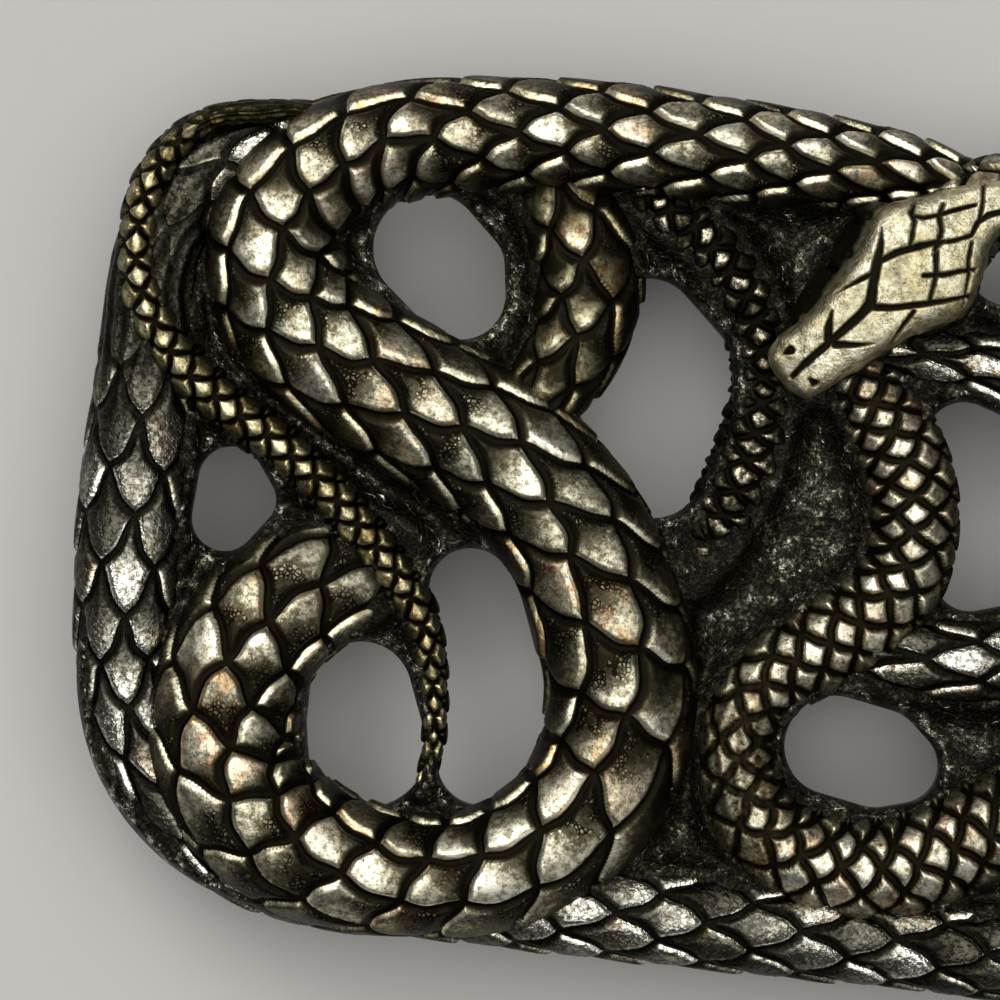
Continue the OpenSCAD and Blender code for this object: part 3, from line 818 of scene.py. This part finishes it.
# Cast web, dark and grainy, with a sparkle on its lumps and thin painted highlights along its creases
cast_web = worn_metal(
    "sand_cast_web_metal",
    [(0.0, "#151410"), (0.35, "#29271f"), (0.65, "#504d42"), (1.0, "#b8b29e")],
    "#b8a880", 0.7, (0.42, 0.2), grain_mm=0.2, grain_depth=0.09, blotch_mm=0.45, pits=0.3, painted_crease_highlights=0.5,
)
# Pale worn silver of the head, with a cream cast
pale = worn_metal(
    "worn_head_metal",
    [(0.0, "#14120c"), (0.2, "#2a261a"), (0.45, "#7d765c"), (0.7, "#b5ae8f"), (1.0, "#e0dac2")],
    "#e8d4a0", 0.38, (0.5, 0.38), grain_mm=0.16, grain_depth=0.05, blotch_mm=0.7, pits=0.2,
)
print(len(bpy.data.materials), "finishes")

# %% [markdown]
# The big snake is the main form. Its scales are long diamonds on the straight runs and lean over
# into slanted tiles where it turns, so its two groove counts are read from the table row by row.

# %% The big snake
add_snake("big_snake", BIG, 0.18, None, 4.0, SCALES, silver, 11, counted=True)

# %% [markdown]
# The other flat-scaled bodies use a plain diamond lattice. The frame snake is a closed ring, so
# its count of scales is rounded to a whole number and the pattern meets itself without a seam.

# %% The frame snake, the hidden run and the low loop
add_snake("frame_snake", FRAME, 0.18, [6.9, 6.9], 3.0, LEAVES, steel, 23, closed=True)
add_snake("under_snake", UNDER, 0.2, [6.0, 6.0], 3.0, UNDER_SCALES_IN_PAINTED_SHADE, under_silver_in_painted_shade, 31)
add_snake("low_loop", LOW, 0.17, [8.0, 8.0], 3.4, LEAVES, steel, 37)

# %% [markdown]
# The tail, the small snake and the pebble-scaled snake carry beads rather than leaves: every side
# of a bead drops into a wide black groove. The same relief makes them when the front is as steep
# as the rear and the top is nearly flat.

# %% The beaded snakes
add_snake("tail", TAIL, 0.12, [2.2, 2.2, 2.4, 2.3, 2.2, 2.2, 2.4], 2.3, TAIL_BEADS, brass, 41)
add_snake("small_snake", SMALL, 0.13, [2.1, 2.0, 2.2], 2.6, DARK_BEADS, black, 43)
add_snake(
    "pebble_snake", PEBBLE, 0.17, [2.3, 2.5, 2.7, 2.9, 2.9, 2.7, 2.7, 2.8, 3.0, 3.0, 3.0, 3.0], 3.1,
    PEBBLES, beige, 47,
)

# %% [markdown]
# The head lies on top, a blunt wedge with a flat face and plates cut into it. Each cut is a short
# chain of strokes that swell and run out to a point, as a graver leaves them, and every point of the
# surface sinks by how near it is to a stroke. Its flanks carry small beads down to the jaw, and
# behind it two plates run on over the neck.

# %% The head's rows and cuts
# Columns: x, y, half width to the left, height, half width to the right, seen from its snout
FACE = [
    (4.3, 11.0, 1.7, 6.3, 1.2),
    (4.8, 11.5, 2.6, 6.7, 1.8),
    (5.6, 12.1, 3.0, 7.1, 2.1),
    (7.2, 13.6, 3.0, 7.6, 2.3),
    (9.2, 15.9, 3.25, 8.2, 2.8),
    (11.3, 18.3, 3.9, 8.5, 3.7),
    (13.0, 20.2, 4.9, 8.6, 4.6),
    (14.4, 21.9, 4.7, 8.4, 4.0),
    (15.7, 23.6, 3.0, 8.1, 3.0),
    (17.2, 24.9, 2.0, 7.9, 2.2),
    (18.8, 25.7, 1.6, 7.7, 2.1),
    (20.4, 26.3, 1.6, 7.4, 2.0),
    (22.0, 26.8, 1.6, 6.6, 1.9),
]
# Strokes seen from above: x, y and half width in mm
CUTS = [
    [(4.8, 11.5, 0.15), (5.7, 12.6, 0.26), (7.1, 14.1, 0.24), (8.2, 15.3, 0.27), (9.3, 16.5, 0.33),
     (9.8, 17.3, 0.36), (9.8, 18.5, 0.3), (9.9, 20.1, 0.34), (10.0, 21.6, 0.2), (9.9, 22.7, 0.04)],
    [(7.1, 14.3, 0.24), (7.0, 15.2, 0.27), (7.1, 16.5, 0.04)],
    [(7.6, 14.1, 0.27), (9.0, 14.2, 0.17), (10.4, 14.4, 0.03)],
    [(9.6, 19.3, 0.17), (8.6, 18.7, 0.15), (7.2, 17.8, 0.03)],
    [(10.0, 17.0, 0.24), (11.4, 17.1, 0.2), (13.2, 17.5, 0.2), (14.9, 17.9, 0.17), (16.8, 18.5, 0.1)],
    [(10.3, 20.4, 0.2), (11.2, 21.0, 0.24), (12.4, 21.5, 0.24), (13.8, 22.0, 0.18), (15.2, 22.3, 0.14),
     (16.4, 22.8, 0.11), (16.8, 23.8, 0.17), (17.5, 24.4, 0.2), (18.4, 24.7, 0.2)],
    [(12.2, 24.8, 0.05), (12.0, 24.0, 0.19), (12.3, 23.4, 0.14), (12.2, 22.0, 0.14), (12.1, 21.5, 0.11)],
    [(14.2, 24.9, 0.11), (14.0, 23.9, 0.18), (14.3, 22.9, 0.16), (14.0, 21.5, 0.18), (14.2, 19.7, 0.16),
     (13.9, 17.7, 0.11)],
    [(12.0, 23.8, 0.11), (12.9, 23.7, 0.14), (13.9, 24.0, 0.14), (15.1, 24.5, 0.14), (16.5, 25.0, 0.11)],
    [(13.3, 19.6, 0.14), (14.7, 19.8, 0.17), (15.9, 20.2, 0.14), (17.0, 20.4, 0.11)],
    [(16.5, 22.3, 0.11), (16.4, 21.0, 0.14), (16.6, 20.0, 0.14), (16.4, 17.8, 0.06)],
    [(16.9, 23.9, 0.16), (17.0, 25.2, 0.13), (16.9, 26.6, 0.1)],
    [(18.4, 24.7, 0.2), (19.8, 25.3, 0.17), (21.6, 26.0, 0.12)],
    [(18.7, 24.9, 0.13), (18.6, 26.2, 0.13), (18.5, 27.6, 0.08)],
    [(12.9, 17.0, 0.14), (12.4, 16.1, 0.17), (11.8, 15.0, 0.1), (11.6, 14.6, 0.03)],
    [(4.0, 13.1, 0.08), (4.5, 13.4, 0.32)],
    [(6.05, 11.5, 0.08), (6.5, 11.2, 0.3)],
]


def past_stroke(x, y, chains):
    """Least distance in mm out of any stroke: from the point t of the way along, less the width there."""
    least = np.full(x.shape, 99.0)
    for chain in chains:
        for (x0, y0, r0), (x1, y1, r1) in zip(chain[:-1], chain[1:]):
            dx, dy = x1 - x0, y1 - y0
            t = np.clip(((x - x0) * dx + (y - y0) * dy) / (dx * dx + dy * dy), 0, 1)
            least = np.minimum(least, np.hypot(x - x0 - t * dx, y - y0 - t * dy) - r0 - t * (r1 - r0))
    return least


print(len(CUTS), "cuts in the head")

# %% [markdown]
# The head's surface is a grid like that of a body, but its section is squarer. A power well under one
# pushes a circle's points out towards a square, so the same arch formula gives the flat face.

# %% The head
# Powers that flatten the section across and upward, and a middling half width and height in mm, used
# only to space the points evenly round it
POWER_ACROSS = 0.4
POWER_UP = 0.35
MIDDLING = (4, 5.5)
# Points round the section and down each flank
ROUND_POINTS = 180
FLANK_POINTS = 8
# In mm: the length over which the snout rounds off, the jaw's swell to the left and right, and the
# depth of a cut and of the small beads
SNOUT = 0.7
JAW = (1.2, 0.3)
CUT_DEPTH = 0.3
BEAD_DEPTH = 0.35


def squared(cos):
    """Across the section: cos a to its power, with its sign kept."""
    return np.sign(cos) * np.abs(cos) ** POWER_ACROSS


def add_head():
    """Across: half width times cos a to a power. Up: rest + (height - rest) times sin a to a power. The
    angles a are chosen for even lengths round that section, and the jaw swells at 0.42 of the height."""
    s, p = even_rows(FACE, 0.1)
    x, y, h = p[:, 0:1], p[:, 1:2], p[:, 3:4]
    tx, ty = np.gradient(p[:, 0])[:, None], np.gradient(p[:, 1])[:, None]
    size = np.hypot(tx, ty)
    blunt = np.sqrt(1 - (1 - np.clip(s[:, None] / SNOUT, 0.02, 1)) ** 2)
    rest = SHOULDER * h
    dense = np.linspace(0, math.pi, 4001)
    section = [MIDDLING[0] * squared(np.cos(dense)), MIDDLING[1] * np.sin(dense) ** POWER_UP]
    run = np.concatenate([[0], np.cumsum(np.hypot(*np.diff(section, axis=1)))])
    even = np.interp(np.linspace(0, run[-1], ROUND_POINTS), run, dense)
    a = np.concatenate([np.zeros(FLANK_POINTS), even, np.full(FLANK_POINTS, math.pi)])[None, :]
    down = np.linspace(1, 0, FLANK_POINTS + 1)[:-1]
    up_again = np.linspace(0, 1, FLANK_POINTS + 1)[1:]
    drop = np.concatenate([down, np.zeros(ROUND_POINTS), up_again])[None, :]
    cos, sin = np.cos(a), np.abs(np.sin(a))
    half = np.where(cos > 0, p[:, 2:3], p[:, 4:5]) * blunt
    up = rest + (h * (0.8 + 0.2 * blunt) - rest) * sin**POWER_UP - (rest - FOOT_Z) * drop
    jaw = np.where(cos > 0, *JAW) * bump(up / h, 0.42, 0.2) * ease(s[:, None], 1.0, 7.0)
    jaw = jaw * (1 - ease(s[:, None], 12.5, 15.5))
    across = (half + jaw) * squared(cos)
    points = np.stack([x - ty / size * across, y + tx / size * across, up + 0 * across], 2)
    out = np.cross(np.gradient(points, axis=1), np.gradient(points, axis=0))
    out = out / (np.linalg.norm(out, axis=2, keepdims=True) + 1e-9)
    face = ease(sin + 0 * s[:, None], 0.15, 0.4) * ease(blunt + 0 * a, 0.2, 0.45)
    past = past_stroke(points[:, :, 0], points[:, :, 1], CUTS)
    cut = (1 - ease(past, -0.1, 0.08)) * face
    along, round_it = 2 * s[:, None] + 0 * a, 16 * a / math.pi + 0 * s[:, None]
    beads = ease(0.5 + 0.5 * lumps(along, round_it, 1.4, 53), 0.25, 0.6)
    height = -CUT_DEPTH * cut + BEAD_DEPTH * (beads - 0.5) * (1 - face) * ease(s[:, None], 2, 5)
    height = height + 0.06 * lumps(points[:, :, 0], points[:, :, 1], 1.2, 59) * face
    foot = ease(up, FOOT_Z + 0.1, FOOT_Z + 1.2)
    ends = ease(s[:, None], 0, 0.5)
    points = points + out * (height * foot * ends)[:, :, None]
    blotch = lumps(points[:, :, 0], points[:, :, 1], 2.2, 61)
    # The flanks below the face are painted nearly black as shade, a little lighter on the beads' tops
    wear = face * (0.82 + 0.14 * blotch) * (1 - 0.97 * cut) + (1 - face) * (0.04 + 0.14 * beads)
    values = {"wear": np.clip(wear, 0, 1), "fore": 0.5 * face * (1 - cut) * ease(blotch, -0.4, 0.3)}
    values["tint"] = 0.5 + 0.5 * lumps(points[:, :, 0], points[:, :, 1], 1.6, 67)
    values["gilt"] = 0.4 * face * ease(lumps(points[:, :, 0], points[:, :, 1], 1.3, 69), 0.0, 0.5)
    all_points, caps, values = close_ends(points, values)
    n, m = points.shape[:2]
    return add_mesh("head", all_points, skin_faces(n, m, False), caps, pale, m, **values)


add_head()

# %% [markdown]
# Between the snakes the casting is a rough web with eye-shaped openings. Its top is a height map
# over a net of triangles, which are made between the outlines by a Delaunay triangulation. Cutting
# holes with a boolean would work too, but the net can follow each opening's edge exactly.

# %% The web's outlines
# Each opening and the outline are the hull of some circles: x, y and radius in mm
OPENINGS = [
    [(-21.9, 18.2, 4.0), (-19.3, 15.1, 3.3), (-18.9, 17.3, 2.6)],
    [(-5.4, 14.4, 3.3), (-2.8, 11.6, 3.6), (-2.0, 8.5, 3.1), (-4.1, 4.1, 3.6), (-6.9, 8.5, 3.1)],
    [(-34.3, 0.1, 2.4), (-34.5, -2.7, 2.4), (-32.9, -1.2, 2.0)],
    [(-23.4, -14.2, 3.7), (-22.5, -18.1, 4.3), (-23.7, -16.4, 3.4)],
    [(-16.3, -6.0, 3.0), (-13.8, -9.3, 3.3), (-13.0, -13.5, 3.4), (-14.3, -18.3, 3.1)],
    [(10.9, -14.4, 3.6), (14.1, -15.0, 3.6), (15.9, -15.4, 2.7)],
    [(18.0, 8.2, 3.0), (22.8, 7.0, 2.6), (23.4, 0.2, 2.8), (19.4, -1.0, 2.8)],
    [(19.3, 20.8, 2.3), (23.0, 20.0, 2.3)],
    [(35.6, -16.2, 1.6), (34.6, -20.2, 1.8)],
]
CORNERS = [(-26.9, -13.4, 17.0), (-31.0, 13.6, 13.2), (26.9, -13.4, 17.0), (31.0, 13.6, 13.2)]


def round_hull(circles, spacing):
    """The hull of some circles, as points an even distance apart along its outline."""
    angle = np.linspace(0, 2 * math.pi, 181)[:-1]
    dots = np.vstack([np.stack([x + r * np.cos(angle), y + r * np.sin(angle)], 1) for x, y, r in circles])
    ring = dots[geometry.convex_hull_2d([Vector(d) for d in dots])]
    ring = np.vstack([ring, ring[:1]])
    length = np.concatenate([[0], np.cumsum(np.hypot(*np.diff(ring, axis=0).T))])
    at = np.linspace(0, length[-1], int(length[-1] / spacing) + 1)[:-1]
    return np.stack([np.interp(at, length, ring[:, 0]), np.interp(at, length, ring[:, 1])], 1)


def outside_by(x, y, ring):
    """Distance out of a convex ring, negative inside: the most that a point is beyond any side."""
    nxt = np.roll(ring, -1, axis=0)
    d = nxt - ring
    area = np.sum(ring[:, 0] * nxt[:, 1] - nxt[:, 0] * ring[:, 1])
    normal = np.stack([d[:, 1], -d[:, 0]], 1) * np.sign(area)
    normal /= np.linalg.norm(normal, axis=1)[:, None]
    most = np.full(x.shape, -99.0)
    for corner, n in zip(ring, normal):
        most = np.maximum(most, (x - corner[0]) * n[0] + (y - corner[1]) * n[1])
    return most


def beside_body(x, y, rows, closed=False):
    """Distance in mm from a body's side, negative under it: to the nearest row, less its half width."""
    least = np.full(x.shape, 99.0)
    for row in even_rows(rows, 0.6, closed)[1]:
        least = np.minimum(least, np.hypot(x - row[0], y - row[1]) - row[2])
    return least


def inside_metal(x, y, rings):
    """Distance in mm from the web's nearest edge, negative outside it: rings are the outline, then holes."""
    edge = -outside_by(x, y, rings[0])
    for ring in rings[1:]:
        edge = np.minimum(edge, outside_by(x, y, ring))
    return edge


print(len(OPENINGS), "openings")

# %% [markdown]
# The net is fine where it shows. Under a body, where nothing is seen, only one point in five is kept,
# which saves many triangles. The height is then worked out at every point at once.

# %% The web
# In mm: the net's spacing, and how far in from an edge and how far under a body its points stay dense
NET_MM = 0.33
EDGE_ROOM = 0.16
UNDER_MM = 0.7
# In mm: the fillet's height and width at a body, the lip's height at an opening, the wrinkles' width
FILLET_H = 1.3
FILLET_W = 2.2
LIP_H = 0.25
WRINKLE_W = 0.95


def add_web():
    """Top: web thickness, plus a hollow fillet, its height times (1 - d / its width)^2, up to the bodies,
    lumps, wrinkles that run along the big snake, and a raised lip round each opening."""
    rings = [round_hull(CORNERS, 0.3)] + [round_hull(o, 0.26) for o in OPENINGS]
    gx, gy = np.meshgrid(np.arange(-45, 45, NET_MM), np.arange(-31.4, 31.4, NET_MM * 0.866))
    gx = gx + (np.arange(gx.shape[0]) % 2)[:, None] * NET_MM / 2
    x, y = gx.ravel(), gy.ravel()
    roomy = inside_metal(x, y, rings) > EDGE_ROOM
    x, y = x[roomy], y[roomy]
    bodies = [(BIG, False), (FRAME, True), (TAIL, False), (UNDER, False), (SMALL, False), (PEBBLE, False)]
    bodies = bodies + [(LOW, False), (HEAD, False)]
    cover = np.min([beside_body(x, y, rows, closed) for rows, closed in bodies], axis=0)
    keep = (cover > -UNDER_MM) | (np.arange(len(x)) % 5 == 0)
    x, y = x[keep], y[keep]
    dots = np.vstack(rings + [np.stack([x, y], 1)])
    edges = []
    start = 0
    for ring in rings:
        i = np.arange(len(ring))
        edges.append(np.stack([start + i, start + (i + 1) % len(ring)], 1))
        start += len(ring)
    edges = np.vstack(edges)
    net = geometry.delaunay_2d_cdt([Vector(d) for d in dots], edges.tolist(), [], 0, 1e-5)
    flat = np.array([v[:] for v in net[0]])
    tri = np.array([f for f in net[2] if len(f) == 3])
    mid = flat[tri].mean(axis=1)
    tri = tri[inside_metal(mid[:, 0], mid[:, 1], rings) > 0]
    a, b, c = flat[tri[:, 0]], flat[tri[:, 1]], flat[tri[:, 2]]
    turned = (b[:, 0] - a[:, 0]) * (c[:, 1] - a[:, 1]) - (b[:, 1] - a[:, 1]) * (c[:, 0] - a[:, 0]) < 0
    tri[turned] = tri[turned][:, ::-1]
    x, y = flat[:, 0], flat[:, 1]
    away = [beside_body(x, y, rows, closed) for rows, closed in bodies]
    cover = np.min(away, axis=0)
    edge = np.maximum(inside_metal(x, y, rings), 0)
    fillet = FILLET_H * np.clip(1 - np.maximum(cover, 0) / FILLET_W, 0, 1) ** 2
    coarse, fine = lumps(x, y, 2.4, 71), lumps(x, y, 0.75, 73)
    grit = lumps(x, y, 0.36, 79)
    wrinkle = np.sin(2 * math.pi * (away[0] + 0.5 * coarse) / WRINKLE_W)
    wrinkle = wrinkle * ease(-x, 16, 22) * ease(away[0], 0.2, 1.0)
    lip = LIP_H * bump(edge, 0.5, 0.28)
    top = WEB_T + fillet + 0.22 * coarse + 0.1 * fine + 0.05 * grit + 0.09 * wrinkle + lip
    top = top - 0.55 * (1 - ease(edge, -0.05, 0.45))
    wear = 0.5 + 0.28 * fine + 0.2 * grit + 0.25 * wrinkle + 0.35 * lip / LIP_H
    wear = wear - 0.25 * fillet / FILLET_H
    wear = np.clip(wear, 0, 1)
    n = len(flat)
    points = np.vstack([np.stack([x, y, top], 1), np.stack([x, y, np.zeros(n)], 1)])
    # The rim: sides that belong to one triangle alone get a wall down to the flat back
    side = tri[:, [0, 1, 1, 2, 2, 0]].reshape(-1, 2)
    code = np.minimum(side[:, 0], side[:, 1]) * n + np.maximum(side[:, 0], side[:, 1])
    first, times = np.unique(code, return_index=True, return_counts=True)[1:]
    rim = side[first[times == 1]]
    walls = np.stack([rim[:, 1], rim[:, 0], rim[:, 0] + n, rim[:, 1] + n], 1)
    faces = np.vstack([tri, tri[:, ::-1] + n])
    used = np.zeros(2 * n, bool)
    used[faces.ravel()] = True
    new = np.cumsum(used) - 1
    wear = np.concatenate([wear, 0.45 + 0 * wear])[used]
    values = {"tint": 0.4 + 0 * wear, "fore": 0.7 + 0 * wear, "gilt": 0 * wear}
    return add_mesh("web", points[used], new[walls], new[faces], cast_web, wear=wear, **values)


add_web()

# %% [markdown]
# On the back, three low bosses hold the belt loop's legs and the stud. They are turned forms, so
# a short profile spun round an upright axis makes each one.

# %% The bosses on the back
# In mm: a boss's height, its post's diameter, and where each one stands
BOSS_H = 1.2
POST = 3.2
BOSSES = {"boss_stud": (-25.0, 0.0), "boss_loop_top": (28.5, 21.6), "boss_loop_bottom": (28.5, -21.6)}


def add_boss(name, x, y):
    """A ring round a post: its profile of radius and height turned in 64 steps, closed on itself."""
    inner, outer = POST / 2 + 0.1, POST / 2 + 1.3
    profile = np.array([
        (inner, 0.3), (inner, -BOSS_H + 0.1), (inner + 0.1, -BOSS_H), (outer - 0.25, -BOSS_H),
        (outer - 0.07, -BOSS_H + 0.07), (outer, -BOSS_H + 0.25), (outer, -0.3), (outer + 0.1, -0.08),
        (outer + 0.3, 0.05), (outer + 0.3, 0.3),
    ])
    turn = np.linspace(0, 2 * math.pi, 65)[:-1][:, None]
    points = np.stack([x + profile[:, 0] * np.cos(turn), y + profile[:, 0] * np.sin(turn),
                       np.broadcast_to(profile[:, 1], (64, len(profile)))], 2)
    faces = skin_faces(64, len(profile), True)[:, ::-1]
    wear = np.full(points.shape[:2], 0.55)
    values = {"wear": wear, "tint": wear, "fore": wear, "gilt": 0 * wear}
    return add_mesh(name, points, faces, np.zeros((0, 3)), cast_web, **values)


for name, (x, y) in BOSSES.items():
    add_boss(name, x, y)

# %% [markdown]
# The belt loop and the stud are steel rod that the CAD part already gives the right shape, so they
# keep their meshes and only get a finish: drawn wire with fine scratches and a dull, even shine.

# %% The hardware's finish
def rod_metal(name):
    """Drawn steel rod: a mid grey metal, scratches of 0.1 mm in its roughness, and soft stains."""
    material = bpy.data.materials.new(name)
    material.use_nodes = True
    tree = material.node_tree
    tree.nodes.clear()
    place = add_node(tree, "ShaderNodeTexCoord").outputs["Object"]
    stains = noise(tree, place, 3, 5.0, 0.6)
    colour = ramp(tree, [(0.3, "#4a463c"), (0.5, "#8a8474"), (0.7, "#b4ad9c")], stains)
    scratch = noise(tree, place, 0.12, 2.0, 0.5)
    rough = add_node(
        tree, "ShaderNodeMapRange", {"From Min": 0.3, "From Max": 0.7, "To Min": 0.24, "To Max": 0.42},
        {"Value": scratch},
    ).outputs["Result"]
    relief = add_node(
        tree, "ShaderNodeBump", {"Strength": 0.4, "Distance": 0.01 * MM}, {"Height": scratch}
    ).outputs["Normal"]
    shader = add_node(
        tree, "ShaderNodeBsdfPrincipled", {"Metallic": 1.0},
        {"Base Color": colour, "Roughness": rough, "Normal": relief},
    )
    add_node(tree, "ShaderNodeOutputMaterial", None, {"Surface": shader.outputs["BSDF"]})
    return material


drawn_steel = rod_metal("drawn_steel_rod")
for name in ("belt_loop", "hook_stud"):
    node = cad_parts[name]
    node.data.materials.clear()
    node.data.materials.append(drawn_steel)
print("hardware finished")

# %% [markdown]
# Plain studio light: a wide soft panel nearly overhead lights every crest, a smaller one at the upper
# left gives the lips their shine, a weak one opposite lifts the shadows, and a pale floor lies far out
# on every side.

# %% Floor and light
# The floor reaches this far on each side, in m
REACH = 3
floor_mesh = bpy.data.meshes.new("floor")
floor_corners = [(-REACH, -REACH, 0), (REACH, -REACH, 0), (REACH, REACH, 0), (-REACH, REACH, 0)]
floor_mesh.from_pydata(floor_corners, [], [(0, 1, 2, 3)])
floor = bpy.data.objects.new("floor", floor_mesh)
bpy.context.scene.collection.objects.link(floor)
paper = bpy.data.materials.new("matt_paper_floor")
paper.use_nodes = True
paper_shader = paper.node_tree.nodes["Principled BSDF"]
paper_shader.inputs["Base Color"].default_value = linear("#b6b4af")
paper_shader.inputs["Roughness"].default_value = 0.9
floor_mesh.materials.append(paper)


def add_panel(name, place, size, power):
    """A square soft light that faces the buckle."""
    data = bpy.data.lights.new(name, "AREA")
    data.shape = "SQUARE"
    data.size = size
    data.energy = power
    lamp = bpy.data.objects.new(name, data)
    lamp.location = place
    lamp.rotation_euler = (-Vector(place)).to_track_quat("-Z", "Y").to_euler()
    bpy.context.scene.collection.objects.link(lamp)


# Places and sizes in m, powers in W
add_panel("key_panel", (-0.3, 0.4, 0.5), 0.35, 1.4)
add_panel("sky_panel", (-0.06, 0.14, 1.0), 1.5, 14.5)
add_panel("fill_panel", (0.5, -0.4, 0.35), 0.4, 0.4)
world = bpy.data.worlds.new("studio")
bpy.context.scene.world = world
world.use_nodes = True
world.node_tree.nodes["Background"].inputs["Color"].default_value = linear("#8c8f94")
world.node_tree.nodes["Background"].inputs["Strength"].default_value = 0.35
bpy.context.scene.view_settings.view_transform = "Standard"
print("three panels")
